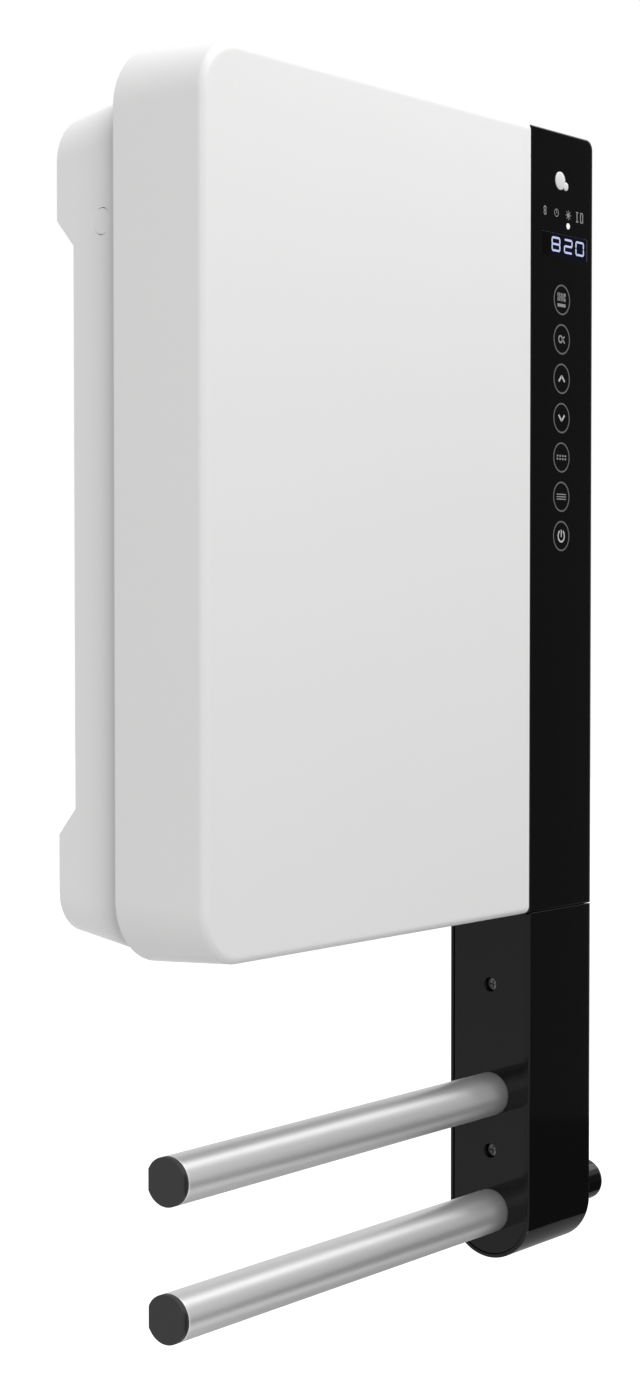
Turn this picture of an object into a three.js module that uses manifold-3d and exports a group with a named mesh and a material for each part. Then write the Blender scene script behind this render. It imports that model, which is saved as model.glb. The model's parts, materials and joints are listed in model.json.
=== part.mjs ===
// Bathroom wall fan heater with a control column and two towel bars.
//
// Lengths are millimetres. X runs to the right as seen from the front, Y runs into the wall and Z up.
// Pieces are placed from the body's datum: X = 0 on the middle of the body, Y = 0 on the wall and
// Z = 0 at the lower edge of the front face. The whole group is then lowered, so that the origin is
// the middle of the wall bracket's back.

import * as THREE from "three";
import { mergeVertices } from "three/addons/utils/BufferGeometryUtils.js";
import Module from "manifold-3d";

const wasm = await Module();
wasm.setup();

// ---- Driving dimensions ------------------------------------------------------------------------

// Fits and modelling allowances
const fitGap = 0.3; // between neighbouring pieces
const rootDepth = 0.5; // how far a rib, post or arm is sunk into the wall that it grows from
const overrun = 1; // how far a cut runs past the wall that it goes through

// Body
const bodyWidth = 354; // white cover and control column together
const bodyHeight = 450; // front face
const bodyDepth = 111; // wall to front face
const coverDepth = 55; // front face to the cover's back edge
const coverFlare = 3.2; // how far the cover's sides lean out by its back edge
const faceCornerRadius = 27;
const rimCornerRadius = 34;
const faceEdgeRadius = 3.6;
const topEdgeRadius = 4.8;
const seamCornerRadius = 0.6; // beside the control column
const shellWall = 2.5;

// Rear casing
const casingSideStep = 5; // in from the front face's outline, at the cover's back edge
const casingTopStep = 16;
const casingBottomStep = 0.6;
const casingSideDraft = 0.2; // millimetres in for each millimetre towards the wall
const casingEndDraft = 0.11;
const casingUpperRadius = 26.5;
const casingLowerRadius = 22;
const flangeLap = 5; // how far the flange's two halves lap behind the seam
const standOff = 14; // air space between the casing's back and the wall
const upperFootHeight = 56;
const lowerFootHeight = 52;

// Wall bracket
const bracketDrop = 55; // hooks below the top of the front face
const bracketHeight = 36;
const bracketSheet = 1.5;
const bracketEndMargin = 8; // past the hooks
const bracketSideRoom = 4.8; // from the bracket's ends to the feet
const hookWidth = 8;
const hookRise = 8;
const hookFromRail = 8.5;
const hookSlotRoom = 1; // beside each hook
const hookSlotDrop = 11; // a hook's rise and sheet pass through it
const wallSlotSpacing = 140;
const wallSlotWidth = 6.5;
const wallSlotLength = 16;

// Screws
const screwShank = 4;
const screwHead = 7;
const screwHeadHeight = 2.6;
const screwSlotWidth = 1;
const screwSlotLength = 4.2;
const screwTail = 4; // past the last sheet that the screw holds
const postGrip = 14; // a rear screw's reach into its post
const postRunout = 6; // pilot hole past the screw's tip
const studDiameter = 8;
const hexDiameter = 13.6; // across the corners
const boltHeadHeight = 5.2;
const nutHeight = 6.4;

// Side fixing screws under their round caps
const sideScrewDrop = 82.5; // below the top of the front face
const sideScrewBehindRim = 18;
const sideCapDiameter = 13.2;
const sideCapThickness = 2;
const sideCapWall = 1.4;
const sideWellDepth = 8;
const lugThickness = 8;
const lugWidth = 12;
const leftPostInset = 34; // from the body's left side

// Control column
const columnWidth = 66.8;
const columnDrop = 203; // column below the body
const columnWall = 2.2;
const columnEdgeRadius = 1;
const panelCornerRadius = 6;
const panelTopStep = 1.5; // panel's top below the cover's top
const sidePlateInset = 1.2;
const sidePlateThickness = 2.4;
const plateWellDepth = 6;
const plateWellRoom = 0.7; // round a screw's head
const plateBossWall = 1.8;
const upperPlateScrewRise = 63.7; // above the upper bar
const lowerPlateScrewDrop = 33.3; // below the upper bar

// Towel bars and robe peg
const barDiameter = 25;
const barWall = 1.5;
const barPitch = 68.3;
const barReach = 284.7; // from the column's side to the end of the cap
const capHead = 2.2;
const capCollar = 1.1;
const capFlatDepth = 1.2; // the two flats on a cap
const capSpigot = 12;
const socketLength = 40;
const socketBore = 30;
const boltReach = 28; // into the socket
const pegLength = 39.5;
const pegDiameter = 24.6;
const pegNeck = 1; // a slimmer neck at its foot
const pegNeckStep = 0.6;
const studReach = 24; // into the peg
const studRunout = 2;

// Steel carrier in the column
const carrierSheet = 3;
const carrierWidth = 39;
const carrierDrop = 41.6; // below the control board
const carrierFootWidth = 30;
const carrierFootHeight = 56;

// Controls, from the panel's top downwards
const sensorDrop = 27.8;
const sensorDiameter = 10.4;
const sensorOffset = -2.2; // from the column's middle
const sensorRise = 0.8;
const lightSensorDiameter = 5; // let into the edge of the sensor
const lightSensorRise = 0.6;
const lightSensorOffset = 5.9; // from the sensor
const lightSensorDrop = 2.6;
const statusLightDrop = 25.1; // below the sensor
const statusLightOffset = 6.4;
const statusLightDiameter = 3.4;
const statusLightRise = 0.4;
const displayGap = 3.7; // below the status light
const displayTall = 13.4;
const displayLeftMargin = 11.3; // from the column's sides
const displayRightMargin = 6;
const moduleSideStep = 0.5;
const moduleEndLap = 2; // the module is taller than its window
const keyGap = 15.45; // from the display to the first key
const keyDiameter = 17.5;
const keySpacing = 5.21; // between neighbouring keys
const keyCount = 7;
const foilMargin = 2;
const foilThickness = 0.8;
const boardDepth = 11; // front face to the control board
const boardThickness = 1.6;
const boardMargin = 3;
const boardTopMargin = 17.8; // above the sensor's middle
const boardBaseMargin = 26; // below the last key
const boardPostInset = 5;
const boardPostDiameter = 6;
const boardPinDiameter = 2.8;
const boardPinRise = 2; // past the board
const boardSocketWidth = 24;
const boardSocketHeight = 8;
const boardSocketDepth = 7;
const boardSocketRise = 24;
const rightPostDrop = 9.6; // below the control board

// Blower
const blowerInset = 56; // from the body's left side to the left end plate
const wheelDiameter = 50;
const wheelFromWall = 8; // wheel to front face
const wheelAboveHeater = 31;
const wheelSideGap = 2;
const bladeCount = 20;
const bladeDepth = 5.5;
const bladeThickness = 1;
const bladeInset = 0.4;
const bladeLean = 16; // degrees
const discThickness = 2.4;
const hubLength = 8;
const shaftDiameter = 6;
const shaftTail = 2;
const bearingLength = 5;
const bearingDiameter = 16.2;
const bearingCollar = 2.5;
const guideSheet = 1.2;
const guideClearance = 3;
const scrollGrowth = 4.5;
const scrollStart = 70; // degrees above the back of the wheel
const scrollEnd = -30;
const scrollFoot = 6; // where the rear guide turns straight, below the wheel
const tongueStart = 222; // degrees
const tongueEnd = 192;
const tongueRise = 9.5; // of the tongue's lower end, above the wheel's lowest point
const tongueLength = 14;
const plateMargin = 1;
const plateWaist = 12;
const plateFootDrop = 4; // below the wheel's axis
const plateFootHeight = 16;
const plateFootLength = 12;

// Heating duct
const ductGap = 9.5; // front face to the duct
const heaterBase = 26;
const heaterHeight = 14;
const heaterWall = 2.4;
const rowCount = 3;
const finPitch = 8;
const finThickness = 0.8;
const finInset = 1;
const tubeThickness = 2.6;
const cutoutRise = 10; // above the heater
const cutoutDiameter = 12;
const cutoutFlange = 16;
const cutoutFlangeThickness = 1.2;
const cutoutClearance = 1.5;

// Motor
const motorClearance = 7.35; // from the column's wall
const motorGap = 8; // end plate to stator
const statorLength = 20;
const statorWidth = 50;
const statorHeight = 66;
const statorBar = 9; // width of the bars round the stator's window
const rotorDiameter = 22;
const rotorGap = 0.6;
const coilBuild = 6; // winding outside the bar
const coilWidth = 24;
const bridgeThickness = 2.5;
const bridgeHeight = 14;
const bridgeFoot = 7;
const bridgeHubReach = 3;

// Outlet grille
const grilleBar = 2.3;
const grilleBarHeight = 5.5;
const grillePitch = 6;
const grilleFrame = 2;
const grilleCollar = 1.5;
const grilleRise = 3.4; // above the cover's floor
const grilleSideRoom = 2; // past the end plates
const grilleEndRoom = 1; // past the guides

// Dust filter
const filterWidth = 170;
const filterHeight = 252;
const filterThickness = 3;
const filterFrame = 6;
const filterRib = 1.4;
const filterRibStep = 1; // ribs are thinner than the frame
const filterColumns = 5;
const filterRows = 7;
const filterTabWidth = 44;
const filterTabRise = 11;
const railThickness = 2.2;
const railLip = 3;
const railStop = 8;
const railTopGap = 30;

// Air inlet slots behind the filter, in two columns
const slotPitch = 16;
const slotHeight = 3.5;
const slotMiddleRib = 8;
const slotSideMargin = 7; // from the filter's sides
const slotBaseMargin = 21.7;
const slotTopMargin = 50;

// Power board
const powerBoardInset = 47; // its middle from the body's left side
const powerBoardWidth = 56;
const powerBoardTopGap = 39.5; // below the side lug
const powerPostInset = 15;
const powerPostDiameter = 8;
const powerPostHeight = 17;
const terminalWidth = 36;
const terminalHeight = 16;
const terminalDepth = 14;
const terminalFloor = 6;
const terminalWell = 5.2;
const relayWidth = 28;
const relayHeight = 18;
const relayDepth = 15;
const capacitorDiameter = 16;
const capacitorLength = 22;

// Cable grommet
const grommetRise = 20; // above the blower's feet
const grommetHole = 13;
const grommetLip = 18;
const grommetLipThickness = 2;
const grommetBore = 9;
const grommetBoardGap = 44;

// ---- Derived places ----------------------------------------------------------------------------

const pilotRadius = screwShank / 2 + fitGap / 2;
const clearRadius = screwShank / 2 + fitGap;
const studRadius = studDiameter / 2;

const halfWidth = bodyWidth / 2;
const frontY = -bodyDepth;
const frontInnerY = frontY + shellWall;
const rimY = frontY + coverDepth;
const flangeY = rimY - shellWall; // front of the casing's flange
const backInnerY = -standOff - shellWall; // inside of the casing's back
const wallDraft = casingEndDraft * -rimY; // how far the casing's ends draw in by the wall
const casingTop = bodyHeight - casingTopStep - wallDraft; // at the wall
const casingBottom = casingBottomStep + wallDraft;

const columnLeftX = halfWidth - columnWidth;
const columnMiddleX = halfWidth - columnWidth / 2;
const columnRadius = coverDepth / 2;
const columnMiddleY = frontY + columnRadius;
const panelTop = bodyHeight - panelTopStep;
const plateX = columnLeftX + sidePlateInset;
const plateBackX = plateX + sidePlateThickness;
const plateWellRadius = screwHead / 2 + plateWellRoom;
const plateScrewSeat = plateX + plateWellDepth;
const wellEndX = plateScrewSeat + sidePlateThickness;
const carrierX = wellEndX + fitGap;
const webEndX = carrierX + carrierSheet;
const lowerBarZ = columnRadius - columnDrop;
const upperBarZ = lowerBarZ + barPitch;
const plateScrews = [upperBarZ + upperPlateScrewRise, upperBarZ - lowerPlateScrewDrop].map((z) => (
  [columnMiddleY, z]));

const barEndX = columnLeftX - barReach;
const tubeEndX = carrierX - fitGap;
const boreRadius = barDiameter / 2 - barWall - fitGap;
const boltStartX = tubeEndX - boltReach;

const sensorSpot = [columnMiddleX + sensorOffset, panelTop - sensorDrop];
const lightSensorSpot = [sensorSpot[0] + lightSensorOffset, sensorSpot[1] - lightSensorDrop];
const statusLightSpot = [columnMiddleX + statusLightOffset, sensorSpot[1] - statusLightDrop];
const displayTop = statusLightSpot[1] - statusLightDiameter / 2 - displayGap;
const displayBase = displayTop - displayTall;
const highestKey = displayBase - keyGap - keyDiameter / 2;
const lowestKey = highestKey - (keyCount - 1) * (keyDiameter + keySpacing);
const boardY = frontY + boardDepth; // front of the control board
const boardTop = sensorSpot[1] + boardTopMargin;
const boardBase = lowestKey - keyDiameter / 2 - boardBaseMargin;
const boardPosts = [boardTop - boardPostInset, boardBase + boardPostInset].map((z) => [columnMiddleX, z]);
const carrierTop = boardBase - carrierDrop;
const carrierFootX = carrierX + (carrierSheet + carrierFootWidth) / 2;
const carrierScrews = [0.25, 0.75].map((share) => [carrierFootX, carrierTop - share * carrierFootHeight]);
const rightPost = [columnMiddleX, boardBase - rightPostDrop];
const leftPost = [-halfWidth + leftPostInset, casingBottom + lowerFootHeight / 2];

const sideScrewY = rimY + sideScrewBehindRim;
const sideScrewZ = bodyHeight - sideScrewDrop;
const sideCentre = [sideScrewY, sideScrewZ];
const casingSideX = halfWidth - casingSideStep - casingSideDraft * sideScrewBehindRim;
const sideFloorX = casingSideX - sideWellDepth;
const lugEndX = sideFloorX - shellWall - fitGap;

const filterBackY = backInnerY - fitGap;
const filterFrontY = filterBackY - filterThickness;
const filterTop = casingTop - shellWall;
const filterBase = filterTop - filterHeight;
const railX = filterWidth / 2 + fitGap;
const hangHeight = bodyHeight - bracketDrop;
const hookX = railX + railThickness + hookFromRail + hookWidth / 2;
const bracketHalf = hookX + hookWidth / 2 + bracketEndMargin;
const footInnerX = bracketHalf + bracketSideRoom;

const wheelRadius = wheelDiameter / 2;
const axisY = frontY + wheelFromWall + wheelRadius;
const axisZ = heaterBase + heaterHeight + wheelAboveHeater + wheelRadius;
const wheelBottom = axisZ - wheelRadius;
const blowerLeftX = -halfWidth + blowerInset; // inner faces of the end plates
const motorRight = columnLeftX - fitGap / 2 - shellWall - motorClearance - shaftTail;
const statorEndX = motorRight - motorGap;
const statorX = statorEndX - statorLength;
const blowerRightX = statorX - motorGap - guideSheet;
const wheelLeftX = blowerLeftX + wheelSideGap;
const wheelRightX = blowerRightX - wheelSideGap;
const wheelHubX = wheelRightX - discThickness - hubLength;
const statorBottom = axisZ - statorWidth / 2;
const statorTop = statorBottom + statorHeight;
const bearingHole = bearingDiameter / 2 + fitGap;
const plateFootBase = axisZ - plateFootDrop;
const ductBackY = axisY + wheelRadius / 2;
const ductFrontY = frontY + ductGap;
const grilleTop = shellWall + grilleRise;
const ductFloor = grilleTop + fitGap;

const grommetZ = plateFootBase + plateFootHeight + grommetRise;
const powerBoardMiddle = -halfWidth + powerBoardInset;
const powerBoardBase = grommetZ + grommetBoardGap;
const powerBoardTop = sideScrewZ - lugWidth / 2 - powerBoardTopGap;
const postFrontY = backInnerY - powerPostHeight;
const powerPosts = [powerBoardBase + powerPostInset, powerBoardTop - powerPostInset].map((z) => (
  [powerBoardMiddle, z]));

// ---- Materials ---------------------------------------------------------------------------------

function finish(color, roughness, metalness = 0) {
  return new THREE.MeshStandardMaterial({ color, roughness, metalness });
}

const whiteShell = finish(0xe9eaea, 0.45);
const glossBlack = finish(0x111214, 0.12);
const darkPlastic = finish(0x3a3a3b, 0.6);
const brushedAluminium = finish(0xc9cacc, 0.32, 1);
const zincSteel = finish(0xa9adb0, 0.4, 0.9);
const smokedWindow = finish(0x0b1024, 0.08);
const whiteLens = finish(0xf2f2ef, 0.3);
const boardGreen = finish(0x1f5a36, 0.5);
const copperCoil = finish(0x9a5a2e, 0.45, 0.6);
const laminations = finish(0x6e7175, 0.5, 0.8);
const wheelPlastic = finish(0x4c4f52, 0.55);
const finAluminium = finish(0xb8bcc0, 0.4, 0.9);
const frameMica = finish(0xb9a98a, 0.7);
const blackRubber = finish(0x1a1a1a, 0.85);
const filterGrey = finish(0x8d9296, 0.7);
const terminalWhite = finish(0xdedbd0, 0.5);

// ---- Solids ------------------------------------------------------------------------------------

function toSolid(geometry) {
  const bare = geometry.clone();
  bare.deleteAttribute("normal");
  bare.deleteAttribute("uv");
  const welded = mergeVertices(bare, 1e-4);
  return new wasm.Manifold(new wasm.Mesh({
    numProp: 3,
    vertProperties: new Float32Array(welded.attributes.position.array),
    triVerts: new Uint32Array(welded.index.array),
  }));
}

function toGeometry(solid) {
  const mesh = solid.getMesh();
  const geometry = new THREE.BufferGeometry();
  geometry.setAttribute("position", new THREE.BufferAttribute(mesh.vertProperties, 3));
  geometry.setIndex(new THREE.BufferAttribute(mesh.triVerts, 1));
  geometry.computeVertexNormals();
  return geometry;
}

function piece(group, name, solid, material) {
  const mesh = new THREE.Mesh(toGeometry(solid), material);
  mesh.name = name;
  group.add(mesh);
}

function union(solids) {
  return solids.reduce((whole, solid) => whole.add(solid));
}

function cut(solid, tools) {
  return tools.reduce((rest, tool) => rest.subtract(tool), solid);
}

function ascending(a, b) {
  return a < b ? [a, b] : [b, a];
}

// A range along X on the right side (1), or its mirror image on the left side (-1).
function mirrored(side, [from, to]) {
  return ascending(side * from, side * to);
}

function around(middle, reach) {
  return [middle - reach, middle + reach];
}

function grown([from, to], by) {
  return [from - by, to + by];
}

function box([x0, x1], [y0, y1], [z0, z1]) {
  const geometry = new THREE.BoxGeometry(x1 - x0, y1 - y0, z1 - z0);
  geometry.translate((x0 + x1) / 2, (y0 + y1) / 2, (z0 + z1) / 2);
  return toSolid(geometry);
}

// A rod along "x", "y" or "z". Its middle line passes through (a, b) in the other two axes.
function rod(axis, [from, to], [a, b], radius, sides = 24) {
  const geometry = new THREE.CylinderGeometry(radius, radius, to - from, sides);
  const middle = (from + to) / 2;
  if (axis === "x") {
    geometry.rotateZ(-Math.PI / 2);
    geometry.translate(middle, a, b);
  } else if (axis === "y") {
    geometry.translate(a, middle, b);
  } else {
    geometry.rotateX(Math.PI / 2);
    geometry.translate(a, b, middle);
  }
  return toSolid(geometry);
}

function ring(axis, range, centre, outerRadius, innerRadius, sides = 24) {
  const bore = rod(axis, grown(range, overrun), centre, innerRadius, sides);
  return rod(axis, range, centre, outerRadius, sides).subtract(bore);
}

// A flat outline drawn along an axis: [y, z] points along "x", [x, z] along "y", [x, y] along "z".
function prism(axis, [from, to], points) {
  const turned = points.map(([a, b]) => new THREE.Vector2(...(axis === "y" ? [b, a] : [a, b])));
  const options = { depth: to - from, bevelEnabled: false };
  const geometry = new THREE.ExtrudeGeometry(new THREE.Shape(turned), options);
  geometry.translate(0, 0, from);
  const [alongX, alongY, alongZ] = [[1, 0, 0], [0, 1, 0], [0, 0, 1]].map((v) => new THREE.Vector3(...v));
  const bases = {
    x: [alongY, alongZ, alongX],
    y: [alongZ, alongX, alongY],
    z: [alongX, alongY, alongZ],
  };
  geometry.applyMatrix4(new THREE.Matrix4().makeBasis(...bases[axis]));
  return toSolid(geometry);
}

// Convex outlines of [x, z] points, anticlockwise from the front, each at its own y, front to back.
function loft(sections) {
  const count = sections[0].outline.length;
  const positions = sections.flatMap(({ y, outline }) => outline.flatMap(([x, z]) => [x, y, z]));
  const faces = [];
  for (let s = 0; s + 1 < sections.length; s += 1) {
    for (let i = 0; i < count; i += 1) {
      const next = (i + 1) % count;
      const a = s * count + i;
      const b = s * count + next;
      faces.push(a, b + count, b, a, a + count, b + count);
    }
  }
  const last = (sections.length - 1) * count;
  for (let i = 1; i + 1 < count; i += 1) {
    faces.push(0, i, i + 1, last, last + i + 1, last + i);
  }
  const geometry = new THREE.BufferGeometry();
  geometry.setAttribute("position", new THREE.Float32BufferAttribute(positions, 3));
  geometry.setIndex(faces);
  return toSolid(geometry);
}

// A rectangle with its own radius on each corner, anticlockwise from the lower left. Each corner is
// a quarter turn, and the first one starts half a turn round from +X.
function roundedOutline([left, right], [bottom, top], { lowerLeft, lowerRight, upperRight, upperLeft }) {
  const corners = [
    [left + lowerLeft, bottom + lowerLeft, lowerLeft],
    [right - lowerRight, bottom + lowerRight, lowerRight],
    [right - upperRight, top - upperRight, upperRight],
    [left + upperLeft, top - upperLeft, upperLeft],
  ];
  return corners.flatMap(([x, z, radius], index) => {
    const steps = radius > 10 ? 7 : radius > 2 ? 3 : 1;
    return Array.from({ length: steps + 1 }, (_, k) => {
      const angle = (Math.PI / 2) * (2 + index + k / steps);
      return [x + radius * Math.cos(angle), z + radius * Math.sin(angle)];
    });
  });
}

// ---- White cover -------------------------------------------------------------------------------

// The cover's outline at a depth, drawn in by shrink at the sides and by topShrink at the top.
function coverOutline(y, shrink, topShrink = shrink, rightX = columnLeftX - fitGap / 2) {
  const lean = (y - frontY) / coverDepth;
  const grow = coverFlare * lean;
  const radius = faceCornerRadius + (rimCornerRadius - faceCornerRadius) * lean - shrink;
  return roundedOutline(
    [-halfWidth - grow + shrink, rightX],
    [-grow + shrink, bodyHeight + grow - topShrink],
    { lowerLeft: radius, lowerRight: seamCornerRadius, upperRight: seamCornerRadius, upperLeft: radius },
  );
}

function coverSolid() {
  const edgeSteps = 3;
  const sections = [];
  for (let k = 0; k <= edgeSteps; k += 1) {
    const angle = (Math.PI / 2) * (k / edgeSteps);
    const left = 1 - Math.sin(angle);
    const y = frontY + faceEdgeRadius * (1 - Math.cos(angle));
    sections.push({ y, outline: coverOutline(y, faceEdgeRadius * left, topEdgeRadius * left) });
  }
  sections.push({ y: rimY, outline: coverOutline(rimY, 0) });
  return loft(sections);
}

function coverHollow() {
  const innerRight = columnLeftX - fitGap / 2 - shellWall;
  return loft([frontInnerY, rimY + overrun].map((y) => (
    { y, outline: coverOutline(y, shellWall, shellWall, innerRight) })));
}

// Room for the casing's flange behind the wall that a shell has at the seam.
function flangeNotch(side, top) {
  const wall = side < 0 ? shellWall : columnWall;
  const bottom = side < 0 ? shellWall - coverFlare : -overrun;
  return box(
    ascending(columnLeftX, columnLeftX + side * (fitGap / 2 + wall + overrun)),
    [flangeY - fitGap, rimY + overrun],
    [bottom, top],
  );
}

// An arm that runs back from a shell's side wall into the casing and takes a side screw. Its root
// is trimmed to the shell's own outside.
function sideLug(side, outside) {
  const xRange = [lugEndX - lugThickness, lugEndX];
  const zRange = around(sideScrewZ, lugWidth / 2);
  const seamY = flangeY - fitGap;
  const rootY = seamY - 2 * lugWidth;
  const arm = box(mirrored(side, xRange), [rootY, sideScrewY + lugWidth / 2], zRange);
  const bridge = box(mirrored(side, [xRange[0], halfWidth + coverFlare]), [rootY, seamY], zRange);
  const pilot = rod("x", mirrored(side, grown(xRange, overrun)), sideCentre, pilotRadius, 10);
  return arm.add(bridge.intersect(outside)).subtract(pilot);
}

// A post on the inside of a front wall that takes a screw from behind.
function screwPost(spot) {
  const endY = flangeY - fitGap;
  const post = rod("y", [frontInnerY - rootDepth, endY], spot, screwHead / 2 + shellWall, 16);
  return post.subtract(rod("y", [endY - postGrip - postRunout, endY + overrun], spot, pilotRadius, 10));
}

const grilleX = grown([blowerLeftX, blowerRightX], guideSheet + grilleSideRoom);
const grilleY = grown([ductFrontY, ductBackY], guideSheet + grilleEndRoom);
const collarX = grown(grilleX, grilleFrame);
const collarY = grown(grilleY, grilleFrame);

function frontCover() {
  const outside = coverSolid();
  const shell = outside.subtract(coverHollow());
  const floorZ = [-coverFlare, shellWall];
  const outlet = box(grown(grilleX, fitGap), grown(grilleY, fitGap), grown(floorZ, overrun));
  const grilleSeat = box(grown(collarX, fitGap), grown(collarY, fitGap), floorZ).intersect(outside);
  const notch = flangeNotch(-1, bodyHeight + coverFlare - shellWall);
  return cut(union([shell, sideLug(-1, outside), screwPost(leftPost), grilleSeat]), [notch, outlet]);
}

function outletGrille() {
  const zRange = [-fitGap, grilleTop];
  const collarBase = shellWall + fitGap;
  const innerX = grown(grilleX, -grilleFrame);
  const innerY = grown(grilleY, -grilleFrame);
  const rim = box(grilleX, grilleY, zRange);
  const collar = box(collarX, collarY, [collarBase, collarBase + grilleCollar]);
  const frame = rim.add(collar).subtract(box(innerX, innerY, grown(zRange, overrun)));
  const bars = [];
  for (let x = innerX[0] + grillePitch - grilleBar; x < innerX[1] - grilleBar; x += grillePitch) {
    bars.push(box([x, x + grilleBar], grown(innerY, rootDepth), [zRange[0], zRange[0] + grilleBarHeight]));
  }
  return union([frame, ...bars]);
}

// ---- Rear casing -------------------------------------------------------------------------------

function casingOutline(y, shrink) {
  const run = y - rimY;
  const side = halfWidth - casingSideStep - casingSideDraft * run - shrink;
  const upper = casingUpperRadius - shrink;
  const lower = casingLowerRadius - shrink;
  return roundedOutline(
    [-side, side],
    [casingBottomStep + casingEndDraft * run + shrink,
      bodyHeight - casingTopStep - casingEndDraft * run - shrink],
    { lowerLeft: lower, lowerRight: lower, upperRight: upper, upperLeft: upper },
  );
}

// The space left for air behind the casing: a band between the feet with slopes of 45 degrees, and
// a gap up the middle. Drawn deeper by grow for the inside of the wall.
function airSpace(grow) {
  const deep = -standOff - grow;
  const slope = grow * Math.SQRT2;
  const upperZ = casingTop - upperFootHeight;
  const lowerZ = casingBottom + lowerFootHeight;
  const band = prism("x", [-bodyWidth, bodyWidth], [
    [deep, lowerZ - deep - slope],
    [overrun, lowerZ - overrun - slope],
    [overrun, upperZ + overrun + slope],
    [deep, upperZ + deep + slope],
  ]);
  const middle = box(around(0, footInnerX + grow), [deep, overrun], [-bodyHeight, 2 * bodyHeight]);
  return band.add(middle);
}

function casingFlange() {
  const left = loft([flangeY, rimY].map((y) => (
    { y, outline: coverOutline(y, shellWall + fitGap, shellWall + fitGap) })));
  const right = prism("y", [flangeY, rimY], roundedOutline(
    [columnLeftX - flangeLap, halfWidth - columnWall - fitGap],
    [fitGap, panelTop - columnWall - fitGap],
    {
      lowerLeft: seamCornerRadius,
      lowerRight: seamCornerRadius,
      upperRight: panelCornerRadius - columnWall,
      upperLeft: seamCornerRadius,
    },
  ));
  return left.add(right);
}

// A pocket in the casing's side for a cap, with a floor that the screw's head bears on.
function sidePocket(side) {
  const radius = sideCapDiameter / 2 + fitGap;
  const floor = [sideFloorX - shellWall, sideFloorX];
  return {
    boss: rod("x", mirrored(side, [floor[0], casingSideX - overrun]), sideCentre, radius + shellWall),
    bore: rod("x", mirrored(side, [sideFloorX, casingSideX + sideWellDepth]), sideCentre, radius),
    hole: rod("x", mirrored(side, grown(floor, overrun)), sideCentre, clearRadius, 12),
  };
}

// A tube that reaches forward from the casing's back, so that a screw can pull on a post.
function rearWell(spot) {
  const radius = screwHead / 2 + fitGap;
  const floor = [flangeY, flangeY + shellWall];
  return {
    boss: rod("y", [flangeY, -rootDepth], spot, radius + columnWall, 16),
    bore: rod("y", [floor[1], overrun], spot, radius, 16),
    hole: rod("y", grown(floor, overrun), spot, clearRadius, 12),
  };
}

function filterRails() {
  const lipY = [filterFrontY - fitGap - railThickness, filterFrontY - fitGap];
  const fullY = [lipY[0], backInnerY + rootDepth];
  const stopZ = [filterBase - fitGap - railThickness, filterBase - fitGap];
  const zRange = [stopZ[0], filterTop - railTopGap];
  const railEndX = railX + railThickness;
  return [-1, 1].flatMap((side) => [
    box(mirrored(side, [railX, railEndX]), fullY, zRange),
    box(mirrored(side, [railX - railLip, railEndX]), lipY, zRange),
    box(mirrored(side, [railX - railStop, railEndX]), fullY, stopZ),
  ]);
}

function inletSlots() {
  const xRange = [slotMiddleRib / 2, filterWidth / 2 - slotSideMargin];
  const lowest = filterBase + slotBaseMargin;
  const count = Math.floor((filterTop - slotTopMargin - lowest) / slotPitch) + 1;
  return [-1, 1].flatMap((side) => Array.from({ length: count }, (_, k) => (
    box(mirrored(side, xRange), [backInnerY - overrun, overrun],
      around(lowest + k * slotPitch, slotHeight / 2)))));
}

function hookSlots() {
  const xRange = around(hookX, hookWidth / 2 + hookSlotRoom);
  const top = hangHeight + fitGap;
  return [-1, 1].map((side) => box(mirrored(side, xRange), [backInnerY - overrun, overrun - standOff],
    [top - hookSlotDrop, top]));
}

function rearCasing() {
  const outer = loft([rimY, 0].map((y) => ({ y, outline: casingOutline(y, 0) })));
  const hollow = loft([flangeY - overrun, -shellWall].map((y) => (
    { y, outline: casingOutline(y, shellWall) }))).subtract(airSpace(shellWall));
  const fittings = [sidePocket(-1), sidePocket(1), rearWell(leftPost), rearWell(rightPost)];
  const posts = powerPosts.flatMap((spot) => [
    rod("y", [postFrontY, backInnerY + rootDepth], spot, powerPostDiameter / 2, 12),
    rod("y", [postFrontY - boardThickness - boardPinRise, postFrontY + rootDepth], spot,
      boardPinDiameter / 2, 8),
  ]);
  const shell = outer.add(casingFlange()).subtract(hollow);
  const whole = union([shell, ...fittings.map(({ boss }) => boss), ...posts, ...filterRails()]);
  const throughBack = [backInnerY - overrun, overrun];
  return cut(whole, [
    airSpace(0),
    ...fittings.flatMap(({ bore, hole }) => [bore, hole]),
    box(around(0, railX), [filterFrontY - fitGap, backInnerY], [filterTop - overrun, bodyHeight]),
    ...inletSlots(),
    ...hookSlots(),
    ...carrierScrews.map((spot) => rod("y", throughBack, spot, clearRadius, 16)),
    rod("y", throughBack, [powerBoardMiddle, grommetZ], grommetHole / 2),
  ]);
}

function sideCap(side) {
  const radius = sideCapDiameter / 2;
  const discX = casingSideX - sideCapThickness;
  const disc = rod("x", mirrored(side, [discX, casingSideX]), sideCentre, radius);
  const collar = mirrored(side, [sideFloorX + screwHeadHeight + 2 * fitGap, discX + rootDepth]);
  return disc.add(ring("x", collar, sideCentre, radius - fitGap, radius - fitGap - sideCapWall));
}

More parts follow.
